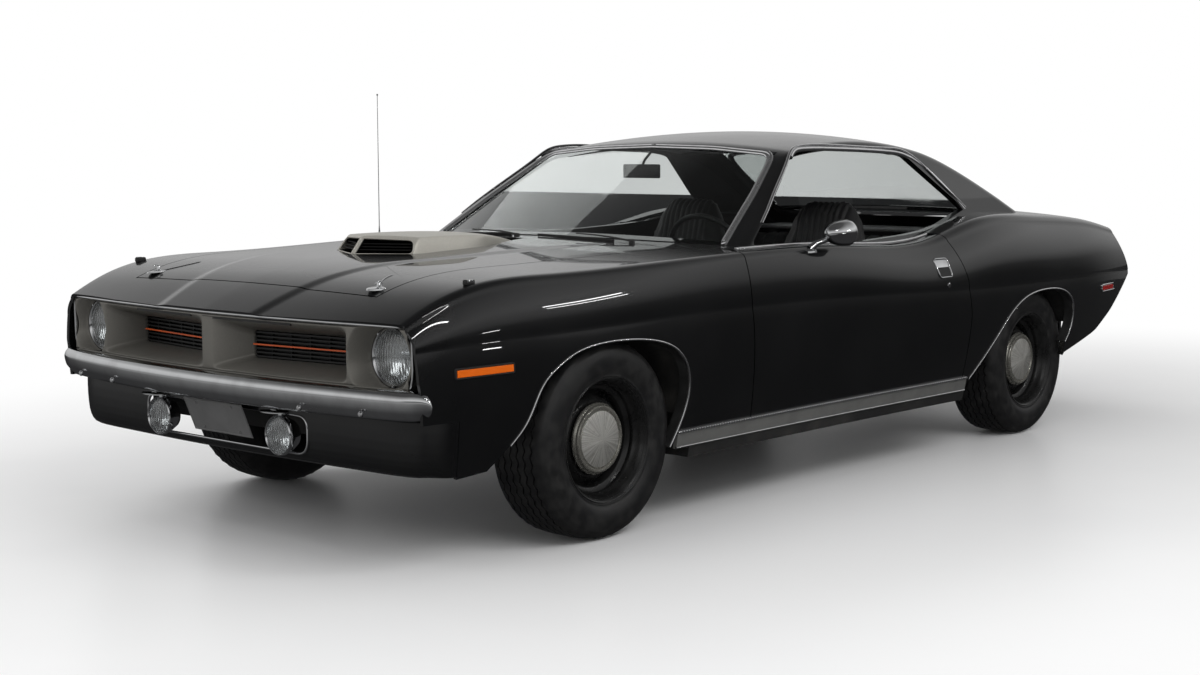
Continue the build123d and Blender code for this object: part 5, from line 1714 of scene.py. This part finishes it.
BELT_Y = 803
GUTTER = [(470, 962), (300, 1082), (150, 1184), (92, 1222), (20, 1236), (-177, 1237), (-560, 1225),
          (-700, 1210), (-880, 1094), (-1040, 975)]
for side, hand in ((1, "left"), (-1, "right")):
    gutter = sweep(rail_line(curve_through(GUTTER, 8), side, 1.0), (0, side, 0.25), half_round(9, 6, 4))
    dressed(gutter, f"gutter_{hand}", "body", "bright_trim")
    frame = curve_through(SIDE_WINDOW[2:9], 8)
    edge = sweep(rail_line(frame, side, -2), (0, side, 0), half_round(18, 6, 6))
    seal = sweep(rail_line(frame - [0, 5], side, -4), (0, side, 0), box_outline(-4, 4, -8, 4))
    dressed(edge, f"window_edge_{hand}", "body", "bright_trim")
    dressed(seal, f"window_seal_{hand}", "body", "trim_black")


def belt(side, hand):
    """The strip along the top of the door, under the glass."""
    x = np.linspace(690, -575, 50)
    y = np.full_like(x, BELT_Y)
    path = np.stack([x, side * y, crown_z(x, y) + 1.5], -1)
    strip = sweep(path, (0, 0.3 * side, 1), half_round(11, 4.5, 5))
    dressed(strip, f"belt_{hand}", f"door_{hand}", "bright_trim")


for side, hand in ((1, "left"), (-1, "right")):
    belt(side, hand)
print("mouldings", len(pieces))

# %% [markdown]
# Under the doors runs the rocker moulding, satin between two bright beads, the upper one
# knurled. The door handles are recessed: a bright frame, a lifting plate above, and below it a
# black plate on the flank that paints the shade of the hollow. The left door also carries the
# round mirror on its leaning stalk.

# %% Rockers, handles, mirror, markers
def side_patch(x0, x1, z0, z1, side, proud, deep=10, count=60):
    """A thin plate laid on the flank between two heights."""
    x = np.linspace(x0, x1, count)
    edges = ((z0, -deep), (z0, proud - 1.2), (z0 + 1.6, proud), (z1 - 1.6, proud), (z1, proud - 1.2),
             (z1, -deep))
    rows = [on_side(x, 0 * x + z, side, far) for z, far in edges]
    plate = grid_piece(np.stack(rows, 1), closed=True)
    closed_ends(plate, len(rows), count)
    return plate


def side_loop(x0, x1, z0, z1, side, proud, section, round_by, lean=0.0):
    """A moulding round a box on the flank, its corners rounded; lean slants the box."""
    x, z = np.array(soften(box_outline(x0, x1, z0, z1), round_by, 5)).T
    return sweep(on_side(x + lean * (z - z0), z, side, proud), (0, side, 0), section, loop=True)


ROCKER_FRONT_X, ROCKER_REAR_X = 1122, -696
HANDLE_X, HANDLE_Z = (-548, -460), (722, 794)
for side, hand in ((1, "left"), (-1, "right")):
    face = side_patch(ROCKER_FRONT_X, ROCKER_REAR_X, 252, 302, side, 5, count=120)
    dressed(face, f"rocker_{hand}_face", "body", "rocker_satin", 30, replaced=["rocker_mouldings"])
    x = np.linspace(ROCKER_FRONT_X, ROCKER_REAR_X, 120)
    beads = [sweep(on_side(x, 0 * x + z, side, 3), (0, side, 0), half_round(wide, high, 4))
             for z, wide, high in ((307, 10, 6), (256, 7, 5))]
    x = np.arange(ROCKER_REAR_X + 8, ROCKER_FRONT_X - 6, 14.0)
    teeth = [block(a - 4, a + 4, side * (b + 6), side * (b + 10.2), 303, 311)
             for a, b in zip(x, flank_y(x, 307))]
    dressed(join(*beads, *teeth), f"rocker_{hand}_beads", "body", "bright_trim",
            replaced=["rocker_mouldings"])

    door, fittings = f"door_{hand}", [f"door_{hand}_fittings"]
    x0, x1, z0, z1 = *HANDLE_X, *HANDLE_Z
    rim = side_loop(x0, x1, z0, z1, side, 0.5, half_round(8, 4.5, 3), 14, 0.2)
    plate = side_patch(x0 + 16, x1 + 8, 760, z1 - 4, side, 3.4, 6, 12)
    dressed(join(rim, plate), f"handle_{hand}", door, "chrome", 30, replaced=fittings)
    # painted shade: a flat black plate on the flank stands for the shaded hollow under the handle
    recess_shade = side_patch(x0 + 8, x1 + 2, z0 + 4, 760, side, 0.8, 6, 12)
    dressed(recess_shade, f"handle_{hand}_hollow", door, "grille_black", 30)
    lock_at = (-520, side * float(flank_y(-520, 690)), 690)
    lock = lathe([(0, 3), (7, 2.8), (10, 1.6), (11, -3), (0, -3)], lock_at, "y", side, 24)
    dressed(lock, f"lock_{hand}", door, "chrome")

    lens = side_patch(1904, 2116, 586, 607, side, 5, 6, 30)
    dressed(lens, f"front_marker_{hand}", "body", "amber_lens", 30, replaced=["front_markers"])
    rim = side_loop(1900, 2120, 583, 610, side, 0, half_round(6, 6, 4), 5)
    dressed(rim, f"front_marker_{hand}_bezel", "body", "trim_black")
    lens = side_patch(-2094, -1942, 578, 599, side, 4.5, 6, 30)
    dressed(lens, f"rear_marker_{hand}", "body", "red_lens", 30, replaced=["rear_markers"])
    rim = side_loop(-2098, -1938, 574, 603, side, 0, half_round(6, 6, 4), 5)
    dressed(rim, f"rear_marker_{hand}_bezel", "body", "chrome")

MIRROR, ANTENNA_FOOT = (236, 925, 922), (906, -776, 868)
bullet = lathe([(0, 66), (9, 65), (20, 59), (30, 47), (38, 28), (44, 2), (47, -30), (48, -50),
                (46, -55), (43, -55), (42, -48), (0, -48)], MIRROR, "x", 1, 64)
stalk = sweep([(330, 866, 868), (306, 880, 888), (276, 898, 898), (250, 912, 906)], (1, 0, 0.4),
              round_section(13, 16), scale=[1.25, 0.8, 0.72, 0.9])
foot = lathe([(0, 9), (14, 8), (26, 4), (30, -2), (30, -8), (0, -8)], (336, 864, 862), "z", 1, 40)
dressed(join(bullet, stalk, foot), "mirror_shell", "door_left", "chrome", replaced=["door_left_fittings"])
glass = lathe([(0, -50.5), (42, -50.5), (42, -48.5), (0, -48.5)], MIRROR, "x", 1, 64)
dressed(glass, "mirror_face", "door_left", "mirror")
whip = lathe([(0, 571), (3.4, 570), (3.4, 566), (1.2, 562), (1.8, 60), (4, 30), (5, 12), (13, 9), (16, 2),
              (16, -6), (0, -6)], ANTENNA_FOOT, "z", 1, 20)
dressed(whip, "antenna_mast", "body", "chrome", replaced=["antenna"])
print("side trim", len(pieces))

# %% [markdown]
# Below the front bumper the body turns under in one smooth skirt that wraps round both
# corners into the fenders. It is a swept sheet with a long opening for air, whose edge has a
# thin bright lip. The fenders are trimmed back a little so that the skirt takes their place.

# %% Front skirt and bright edges of the nose
SKIRT_TOP_Z = 461
SKIRT_PLAN = [(2262, 0), (2258, 250), (2250, 450), (2242, 600), (2234, 715), (2223, 780), (2203, 824),
              (2170, 850)]
# (z, how far the skirt is tucked in)
SKIRT_SECTION = [(461, 0), (430, 0.5), (400, 0), (372, -1.5), (348, -4), (330, -8), (316, -14),
                 (305, -22), (298, -34)]
SKIRT_CUT_X, SKIRT_BLEND_X = 2105, 2190
for side, hand in ((1, "left"), (-1, "right")):
    fender = pieces[f"fender_{hand}_skin"]
    cut(fender, block(SKIRT_CUT_X, 2400, side * 700, side * 1000, 200, SKIRT_TOP_Z))
    shade(fender)
half = curve_through([*SKIRT_PLAN, (SKIRT_CUT_X + 2, float(flank_y(SKIRT_CUT_X, 400)) - 1)], 14)
plan = np.concatenate([half[:0:-1] * [1, -1], half])
ahead = unit(np.gradient(plan, axis=0))
out = np.stack([ahead[:, 1], -ahead[:, 0]], -1)
share = np.clip((SKIRT_BLEND_X - plan[:, 0]) / (SKIRT_BLEND_X - SKIRT_CUT_X), 0, 1)[:, None]
share = share * share * (3 - 2 * share)
steps = len(SKIRT_SECTION)
rows = []
for at in np.linspace(0, steps - 1, 49):
    z, tuck = (np.interp(at, np.arange(steps), column) for column in zip(*SKIRT_SECTION))
    wall = flank_y(plan[:, 0], z) * np.sign(plan[:, 1])
    flank_line = np.column_stack([plan[:, 0], wall])
    row = (plan + out * tuck) * (1 - share) + flank_line * share
    rows.append(np.column_stack([row, np.full(len(plan), z)]))
skirt = grid_piece(np.stack(rows, 1))
face_to(skirt, (1, 0, 0.1))
apply(skirt, "SOLIDIFY", thickness=4 * MM, offset=-1)
opening = soften(box_outline(-400, 400, 328, 442), [46, 46, 40, 40], 8)
cut(skirt, prism(opening, "x", 2100, 2400))
dressed(skirt, "skirt_panel", "body", "body_paint", replaced=["front_valance"])
y, z = np.array(opening).T
lip = sweep(np.stack([np.interp(np.abs(y), half[:, 1], half[:, 0]) + 0.5, y, z], -1), (1, 0, 0),
            half_round(7, 3, 5), loop=True)
dressed(lip, "skirt_lip", "body", "chrome")
y = np.linspace(-800, 800, 120)
nose_top = np.stack([nose_line(y) + 1.5, y, 0 * y + 734], -1)
# the corner of the nose: y, z and how far behind the nose's front line
CORNER = np.array([(820, 733, 2.5), (832, 722, 4), (837, 700, 5), (838, 640, 6), (836, 590, 7),
                   (828, 562, 8)])
turn = np.column_stack([nose_line(CORNER[:, 0]) - CORNER[:, 2], CORNER[:, :2]])
path = np.concatenate([mirrored(turn)[::-1], nose_top, turn])
trim = sweep(curve_through(path, 2), (1, 0, 0.2), half_round(8, 4, 4))
dressed(trim, "nose_moulding", "body", "chrome")
y = np.linspace(-806, 806, 100)
low = sweep(np.stack([nose_line(y) - 3, y, 0 * y + 555], -1), (1, 0, 0), half_round(7, 4, 4))
dressed(low, "surround_foot", "body", "argent")
print("skirt", len(skirt.data.polygons), "faces")

# %% [markdown]
# Plates are blank: a pressed blank with a raised rim and four small bolts. The front one leans
# back at its foot, behind the lamps. Turning a finished mesh with a matrix keeps its object
# at the origin, which is where the frame wants it.

# %% Plates
def plate(name, centre, width, tall, tilt, facing):
    x, y, z = centre
    sheet = block(x - 1, x + 1, y - width / 2, y + width / 2, z - tall / 2, z + tall / 2, 0.6, 1)
    half_y, half_z = width / 2 - 5, tall / 2 - 5
    outline = soften(box_outline(-half_y, half_y, -half_z, half_z), 9, 5)
    rim = sweep([(x + facing, y + a, z + b) for a, b in outline], (facing, 0, 0),
                half_round(4, 1.8, 1), loop=True)
    head = [(0, 3.4), (3, 3.2), (5, 2), (5.4, 0), (0, 0)]
    bolts = [lathe(head, (x + facing, y + a, z + b), "x", facing, 18)
             for a in (-89, 89) for b in (10 - half_z, half_z - 10)]
    made = join(sheet, rim, *bolts)
    pivot = Vector((MM * x, 0, MM * z))
    made.data.transform(Matrix.Translation(pivot) @ Matrix.Rotation(math.radians(tilt), 4, "Y")
                        @ Matrix.Translation(-pivot))
    dressed(made, name, "body", "plate", 30, replaced=["licence_plates"])


plate("plate_front", (2276, 0, 405), 292, 116, 22, 1)
plate("plate_rear", (-2262, 0, 404), 304, 152, 0, -1)

# %% [markdown]
# The tail: a lens block in each corner of the leaning panel, ribbed red with a clear
# reversing lamp at its inner end, in a bright frame with two bright bars across it; a bright
# strip above the lamps; and the flattened ends of the two exhaust pipes.

# %% Tail lamps and pipes
TAIL_FOOT = np.array([-2335.5, 0.0, 696.0])
TAIL_UP, TAIL_OUT = unit(np.array([63.0, 0, 100.0])), unit(np.array([-100.0, 0, 63.0]))
LAMP_TALL = 116
TIP_Y, TIP_Z, TIP_HALF_Y, TIP_HALF_Z = 450, 291, 55, 23
# once round the pipe's wall: x, and how far inside the outline
TIP_RINGS = [(-2262, 0), (-2330, 0), (-2330, 3.5), (-2262, 3.5), (-2262, 0)]


def tail_point(y, up, out):
    return tuple(TAIL_FOOT + np.array([0.0, y, 0.0]) + TAIL_UP * up + TAIL_OUT * out)


def tail_block(y0, y1, up0, up1, out0, out1, bevel=2.0):
    corners = [tail_point(y, up, out) for y in (y0, y1) for up in (up0, up1) for out in (out0, out1)]
    faces = [(0, 1, 3, 2), (4, 6, 7, 5), (0, 4, 5, 1), (2, 3, 7, 6), (0, 2, 6, 4), (1, 5, 7, 3)]
    made = mesh_piece(corners, faces)
    apply(made, "BEVEL", width=bevel * MM, segments=2, limit_method="ANGLE")
    return made


def tail_frame(y0, y1, up0, up1, width, height):
    outline = soften(box_outline(y0, y1, up0, up1), 14, 5)
    path = [tail_point(y, up, 0) for y, up in outline]
    return sweep(path, TAIL_OUT, half_round(width, height, 8), loop=True)


for side, hand in ((1, "left"), (-1, "right")):
    lens = tail_block(side * 478, side * 732, 4, LAMP_TALL - 4, -12, 1)
    dressed(lens, f"tail_lamp_{hand}", "body", "red_lens", 30, replaced=["tail_lamps"])
    clear = tail_block(side * 394, side * 470, 4, LAMP_TALL - 4, -12, 1)
    dressed(clear, f"reversing_lamp_{hand}", "body", "lamp_glass", 30, replaced=["tail_lamps"])
    bars = [tail_block(side * a, side * (a + 7), 2, LAMP_TALL - 2, -6, 3, 1) for a in (471, 562, 648)]
    frame_ring = tail_frame(side * 390, side * 735, 0, LAMP_TALL, 11, 5)
    dressed(join(frame_ring, *bars), f"tail_frame_{hand}", "body", "chrome", 30)
    backing = tail_block(side * 388, side * 737, -2, LAMP_TALL + 2, -16, -11, 1)
    dressed(backing, f"tail_backing_{hand}", "body", "grille_black", 30)
    rings = []
    for x, inset in TIP_RINGS:
        half_y, half_z = TIP_HALF_Y - inset, TIP_HALF_Z - inset
        outline = soften(box_outline(-half_y, half_y, -half_z, half_z), 13 if inset else 16, 6)
        rings.append([(x, side * TIP_Y + a, TIP_Z + b) for a, b in outline])
    dressed(grid_piece(np.array(rings), closed=True), f"exhaust_tip_{hand}", "body", "chrome", 30)
path = [tail_point(y, 132, 2) for y in np.linspace(-380, 380, 30)]
deck_line = sweep(path, TAIL_OUT, half_round(8, 3.5, 4))
dressed(deck_line, "tail_moulding", "body", "chrome")
print("tail dressed")

# %% [markdown]
# Black wheel houses close the view through the arches. Each is the arch's own outline, let
# out a little and never nearer to the axle than a turning tyre, and carried in across the
# car, with a flat inner wall.

# %% Wheel houses
def wheel_house(name, arch, axle_x, y_out, y_in, side, least):
    line = curve_through(arch, 4)
    reach = line - [axle_x, HUB_Z]
    far = np.linalg.norm(reach, axis=1)
    line = reach / far[:, None] * np.maximum(far + 22, least)[:, None] + [axle_x, HUB_Z]
    across = np.linspace(y_out, y_in, 8)
    roof = grid_piece(np.array([[(x, side * y, z) for y in across] for x, z in line]))
    face_to(roof, (0, 0, -1))
    apply(roof, "SOLIDIFY", thickness=3 * MM, offset=-1)
    wall = prism([tuple(p) for p in line], "y", *sorted((side * y_in, side * (y_in - 3))))
    dressed(join(roof, wall), name, "body", "underbody")


for side, hand in ((1, "left"), (-1, "right")):
    wheel_house(f"front_house_{hand}", ARCH_F[1:-1], FRONT_AXLE_X, 868, 472, side, 356)
    wheel_house(f"rear_house_{hand}", ARCH_R[1:-1], REAR_AXLE_X, 900, 596, side, 346)
print("wheel houses in")

# %% [markdown]
# The seats are foam under stretched vinyl. Each pad starts as a closed form a little smaller
# than it should be, lofted along its own spine; then the cover is inflated as cloth, which
# crowns the middle and keeps the edges. How far a point may move is capped. All six swell in
# one pass, because Blender steps them side by side. The sewn channels come last: the points
# near a seam are pulled in along their normals.

# %% Padded seats
PAD_PRESSURE, PAD_CAP, PAD_FRAMES = 4.0, 0.018, 20


def loft(spine, half_width, thickness, middle_y, power=0.55):
    """A closed form round a spine of (x, z): rounded rectangles across it."""
    spine = curve_through(spine, 8)
    t = np.linspace(0, 1, len(spine))
    ahead = unit(np.gradient(spine, axis=0))
    out = np.stack([ahead[:, 1], -ahead[:, 0]], -1)
    turn = np.linspace(0, 2 * math.pi, 56, endpoint=False)
    c, s = np.cos(turn), np.sin(turn)
    wide, deep = np.sign(c) * np.abs(c) ** power, np.sign(s) * np.abs(s) ** power
    end = np.sqrt(np.clip(1 - (1 - np.clip(np.minimum(t, 1 - t) / 0.07, 0, 1)) ** 2, 0.03, 1))
    halves = np.interp(t, *zip(*half_width))[:, None] * (0.72 + 0.28 * end[:, None])
    depths = np.interp(t, *zip(*thickness))[:, None] / 2 * end[:, None]
    rings = np.stack([spine[:, :1] + out[:, :1] * deep * depths, middle_y + wide * halves,
                      spine[:, 1:] + out[:, 1:] * deep * depths], -1)
    made = grid_piece(rings, closed=True)
    closed_ends(made, len(turn), len(rings))
    outward(made)
    return made


def stuff(piece, voxel):
    """A copy of the cover, evenly meshed, with pressure waiting inside."""
    pad = piece.copy()
    pad.data = piece.data.copy()
    bpy.context.scene.collection.objects.link(pad)
    bpy.data.objects.remove(piece)
    pad.data.remesh_voxel_size = voxel
    select_only(pad)
    bpy.ops.object.voxel_remesh()
    cloth = pad.modifiers.new("cloth", "CLOTH")
    cloth.settings.use_pressure = True
    cloth.settings.uniform_pressure_force = PAD_PRESSURE
    cloth.settings.effector_weights.gravity = 0
    cloth.settings.quality = 4
    cloth.point_cache.frame_start, cloth.point_cache.frame_end = 1, PAD_FRAMES
    return pad


def inflate(pads):
    """Let all the covers swell at once, and keep every point near its start."""
    starts = [np.array([tuple(v.co) for v in pad.data.vertices]) for pad in pads]
    for step in range(1, PAD_FRAMES + 1):
        bpy.context.scene.frame_set(step)
    for pad, start in zip(pads, starts):
        select_only(pad)
        bpy.ops.object.modifier_apply(modifier="cloth")
        moved = np.array([tuple(v.co) for v in pad.data.vertices]) - start
        far = np.linalg.norm(moved, axis=1, keepdims=True)
        moved = start + moved * np.minimum(1, PAD_CAP / np.maximum(far, 1e-9))
        pad.data.vertices.foreach_set("co", moved.ravel())
        apply(pad, "SUBSURF", levels=1, render_levels=1)
    bpy.context.scene.frame_set(1)


def sew(pad, middle_y, half_y, spacing, deep=6, wide=6):
    """Pull the cover in along seams that run lengthwise, on the side that faces the sitter."""
    seams = np.arange(-half_y, half_y + 1, spacing)
    points = np.empty((len(pad.data.vertices), 3), dtype=np.float32)
    normals = np.empty_like(points)
    pad.data.vertices.foreach_get("co", points.ravel())
    pad.data.vertex_normals.foreach_get("vector", normals.ravel())
    y = points[:, 1] / MM - middle_y
    near = np.abs(seams[None, :] - y[:, None]).min(1)
    facing = (np.abs(y) < half_y + 12) & (normals[:, 0] * 0.5 + normals[:, 2] > -0.2)
    points -= normals * (MM * deep * np.exp(-(near / wide) ** 2) * facing)[:, None]
    pad.data.vertices.foreach_set("co", points.ravel())


SEAT_Y = 356
CUSHION_SPINE = [(-8, 378), (-120, 386), (-260, 374), (-400, 352), (-462, 345)]
BACK_SPINE = [(-462, 320), (-474, 470), (-496, 640), (-526, 820), (-548, 940), (-562, 1022)]
BACK_WIDTH = [(0, 214), (0.3, 226), (0.6, 214), (0.78, 176), (0.9, 142), (1, 112)]
# name, spine, half width, thickness, middle y, (half width and pitch of the seams), voxel, CAD node
PADS = [
    ("rear_cushion", [(-792, 418), (-900, 424), (-1020, 418), (-1168, 402)],
     [(0, 560), (0.2, 572), (1, 566)], [(0, 66), (0.4, 76), (1, 60)], 0, (500, 62.5), 0.014, "rear_seat"),
    ("rear_back", [(-1140, 430), (-1168, 560), (-1204, 720), (-1234, 850)],
     [(0, 566), (0.4, 574), (1, 540)], [(0, 60), (0.5, 72), (1, 56)], 0, (500, 62.5), 0.014, "rear_seat"),
]
for side, hand in ((1, "left"), (-1, "right")):
    PADS.append((f"seat_cushion_{hand}", CUSHION_SPINE, [(0, 210), (0.2, 226), (1, 222)],
                 [(0, 96), (0.4, 128), (1, 110)], side * SEAT_Y, (130, 32.5), 0.011, "front_seats"))
    PADS.append((f"seat_back_{hand}", BACK_SPINE, BACK_WIDTH, [(0, 96), (0.4, 104), (0.8, 78), (1, 56)],
                 side * SEAT_Y, (110, 27.5), 0.011, "front_seats"))
    base = block(-430, -60, side * SEAT_Y - 190, side * SEAT_Y + 190, 247, 318, 14)
    rails = [block(-440, -40, side * SEAT_Y + a - 12, side * SEAT_Y + a + 12, 246, 262, 3)
             for a in (-150, 150)]
    dressed(join(base, *rails), f"seat_base_{hand}", "body", "trim_black", replaced=["front_seats"])

covers = [loft(spine, width, thick, y) for _, spine, width, thick, y, _, _, _ in PADS]
covers = [stuff(cover, row[6]) for cover, row in zip(covers, PADS)]
inflate(covers)
for cover, (name, _, _, _, y, seams, _, node) in zip(covers, PADS):
    sew(cover, y, *seams)
    dressed(cover, name, "body", "vinyl_black", 60, replaced=[node])
shelf = block(-1530, -1236, -560, 560, 848, 862, 6)
dressed(shelf, "parcel_shelf", "body", "vinyl_grey", replaced=["rear_seat"])
print("seats padded", len(pieces["seat_back_left"].data.polygons))

# %% [markdown]
# The rest of the cabin is what can be seen through the glass: a padded dash with a hooded
# cluster of round dials, a thin-rimmed three-spoke wheel, the shifter, door and side trims,
# the headliner and the mirror on its stalk.

# %% Cabin
DASH = [(778, 812), (700, 826), (600, 830), (545, 824), (524, 806), (518, 780), (528, 760), (560, 742),
        (556, 660), (600, 604), (778, 604)]
CLUSTER_HOOD = [(620, 828), (600, 866), (530, 856), (500, 838), (506, 826)]
dash = prism(soften(DASH, 14, 4), "y", -698, 698)
hood = prism(soften(CLUSTER_HOOD, 16, 5), "y", 240, 560)
dressed(join(dash, hood), "dash_pad", "body", "vinyl_grey", replaced=["dashboard"])
# y of the middle, radius, and where the needle points
DIALS, DIAL_X, DIAL_Z = ((300, 34, 2.0), (372, 42, 2.4), (448, 42, 0.9), (518, 30, 1.6)), 516, 792


def dial_line(x, y, turn, start, end, half_width):
    """A thin bar on a dial's face, from radius start to radius end."""
    points = [(x, y + math.cos(turn) * r, DIAL_Z + math.sin(turn) * r) for r in (start, end)]
    return sweep(points, (-1, 0, 0), box_outline(-half_width, half_width, -0.5, 0.5))


dials, marks = [], []
for y, radius, needle in DIALS:
    bezel = [(0, -1), (radius, -1), (radius, -9), (radius + 4, -9), (radius + 4, 4), (0, 4)]
    dials.append(lathe(bezel, (DIAL_X, y, DIAL_Z), "x", 1, 40))
    marks.append(dial_line(DIAL_X - 2.6, y, needle, 0, radius * 0.8, 1))
    for turn in np.linspace(-0.6, math.pi + 0.6, 9):
        marks.append(dial_line(DIAL_X - 2, y, turn, radius * 0.84, radius * 0.96, 0.8))
dressed(join(*dials), "dials", "body", "trim_black")
dressed(join(*marks), "dial_marks", "body", "gauge_white")

WHEEL_AT, WHEEL_TILT, WHEEL_R = np.array([262.0, 372, 800]), math.radians(24), 188
wheel_up = np.array([math.sin(WHEEL_TILT), 0, math.cos(WHEEL_TILT)])
wheel_out = np.array([-math.cos(WHEEL_TILT), 0, math.sin(WHEEL_TILT)])
turn = np.linspace(0, 2 * math.pi, 72, endpoint=False)[:, None]
circle = WHEEL_AT + WHEEL_R * (np.cos(turn) * [0, 1, 0] + np.sin(turn) * wheel_up)
parts = [sweep(circle, wheel_out, round_section(10.5, 14), loop=True)]
start = WHEEL_AT - wheel_out * 34
for a in (0, math.pi, 1.5 * math.pi):
    tip = WHEEL_AT + (WHEEL_R - 4) * (math.cos(a) * np.array([0, 1, 0]) + math.sin(a) * wheel_up)
    spoke = curve_through([start, (start + tip) / 2 - wheel_out * 6, tip], 6)
    parts.append(sweep(spoke, wheel_out, box_outline(-11, 11, -2, 2)))
hub = lathe([(0, 30), (26, 28), (38, 20), (42, 6), (40, -4), (22, -10), (19, -250), (0, -250)],
            (0, 0, 0), "z", 1, 40)
hub.data.transform(Matrix.Translation(Vector(WHEEL_AT - wheel_out * 38) * MM)
                   @ Vector(wheel_out).to_track_quat("Z", "Y").to_matrix().to_4x4())
parts.append(hub)
dressed(join(*parts), "steering_wheel_rim", "body", "trim_black", replaced=["steering_wheel"])
lever = sweep([(20, 0, 262), (10, 2, 380), (-30, 6, 520)], (0, 1, 0), round_section(6, 12))
knob = lathe([(0, 26), (14, 22), (22, 8), (20, -8), (10, -20), (0, -20)], (-32, 6, 536), "z", 1, 32)
console = block(-320, 500, -92, 92, 247, 330, 24)
dressed(join(lever, knob, console), "console", "body", "trim_black")
glass = block(220, 232, -92, 92, 1107, 1161, 5)
stem = sweep([(232, 0, 1140), (206, 0, 1178), (168, 0, 1208)], (0, 1, 0), round_section(5, 10))
dressed(join(glass, stem), "inner_mirror", "body", "trim_black")
for side, hand in ((1, "left"), (-1, "right")):
    panel = block(-606, 700, side * 797, side * 789, 330, 832, 3)
    rest = block(-420, 160, side * 790, side * 742, 612, 648, 12)
    pull = block(-330, -130, side * 741, side * 748, 640, 668, 3)
    winder = lathe([(0, 20), (14, 19), (18, 12), (18, 0), (0, 0)], (120, side * 789, 560), "y", -side, 28)
    arm = sweep([(120, side * 773, 560), (40, side * 768, 536)], (0, 1, 0), box_outline(-7, 7, -3, 3))
    dressed(join(panel, rest, pull, winder, arm), f"door_{hand}_trim", f"door_{hand}", "vinyl_grey")
    side_trim = block(-1120, -700, side * 700, side * 688, 300, 848, 8)
    dressed(side_trim, f"side_trim_{hand}", "body", "vinyl_grey")
lining = greenhouse_points(np.linspace(-700, 40, 40), 24, 6)[:, :24]
lining = np.concatenate([mirrored(lining)[:, :0:-1], lining], axis=1) * [1, 0.94, 1] - [0, 0, 36]
liner = grid_piece(lining)
face_to(liner, (0, 0, -1))
apply(liner, "SOLIDIFY", thickness=3 * MM, offset=-1)
dressed(liner, "headliner", "body", "vinyl_grey")
carpet = block(-760, 600, -690, 690, 246, 252, 2)
dressed(carpet, "carpet", "body", "trim_black")
print("cabin furnished", len(pieces), "pieces")

# %% [markdown]
# Under the hood the engine shows its two ribbed valve covers with their plug leads, the
# radiator with its top hose, the battery and the fluid bottle. They are seen when the hood
# is up, and stay well below it when it is shut.

# %% Engine room
for side, hand in ((1, "left"), (-1, "right")):
    cover = block(1030, 1600, side * 205, side * 296, 786, 826, 12)
    ribs = [block(x, x + 5, side * 212, side * 289, 824, 829, 1.5, 2) for x in range(1060, 1590, 42)]
    bolts = [lathe([(0, 6), (5, 5), (7, 0), (0, 0)], (x, side * y, 800), "z", 1, 12)
             for x in (1046, 1180, 1315, 1450, 1584) for y in (201, 300)]
    dressed(join(cover, *ribs, *bolts), f"valve_cover_{hand}", "body", "trim_black", 35)
    leads = []
    for x in (1110, 1245, 1380, 1515):
        path = [(x, side * 302, 780), (x, side * 322, 742), (x - 14, side * 330, 690),
                (x - 16, side * 312, 640)]
        leads.append(sweep(curve_through(path, 6), (1, 0, 0), round_section(4, 10)))
    dressed(join(*leads), f"plug_leads_{hand}", "body", "orange_line")
core = block(2030, 2066, -330, 330, 400, 720, 3)
fins = [block(2026, 2030, -326, 326, z, z + 3, 0.5, 1) for z in range(410, 716, 12)]
tank = block(2014, 2068, -336, 336, 716, 762, 14)
cap = lathe([(0, 14), (20, 13), (26, 6), (26, 0), (0, 0)], (2040, -210, 760), "z", 1, 32)
dressed(join(core, *fins, tank, cap), "radiator", "body", "trim_black", 35)
HOSE = [(2018, 150, 742), (1940, 150, 752), (1850, 110, 762), (1760, 60, 770), (1688, 40, 768)]
hose = sweep(curve_through(HOSE, 8), (0, 0, 1), round_section(21, 16))
clips = [lathe([(22, -6), (24, -6), (24, 6), (22, 6)], (x, y, z), "x", 1, 32)
         for x, y, z in ((2004, 150, 743), (1702, 43, 768))]
dressed(join(hose, *clips), "top_hose", "body", "tyre")
battery = block(1840, 2000, 310, 440, 560, 730, 5)
posts = [lathe([(0, 18), (8, 17), (9, 0), (0, 0)], (x, 410, 729), "z", 1, 20) for x in (1868, 1972)]
fillers = [lathe([(0, 8), (11, 7), (12, 0), (0, 0)], (x, 350, 729), "z", 1, 20)
           for x in range(1862, 1990, 23)]
dressed(join(battery, *posts, *fillers), "battery", "body", "trim_black")
bottle = block(1800, 1960, -440, -350, 570, 720, 18)
lid_top = lathe([(0, 12), (22, 11), (24, 0), (0, 0)], (1880, -395, 719), "z", 1, 28)
dressed(join(bottle, lid_top), "fluid_bottle", "body", "gauge_white")
booster = lathe([(0, 90), (60, 86), (104, 60), (116, 20), (112, -10), (60, -30), (0, -34)],
                (850, 420, 640), "x", 1, 48)
cylinder = block(940, 1090, 392, 448, 612, 668, 10)
reservoir = block(960, 1070, 388, 452, 664, 700, 8)
dressed(join(booster, cylinder, reservoir), "brake_booster", "body", "steel")
print("engine room", len(pieces), "pieces")
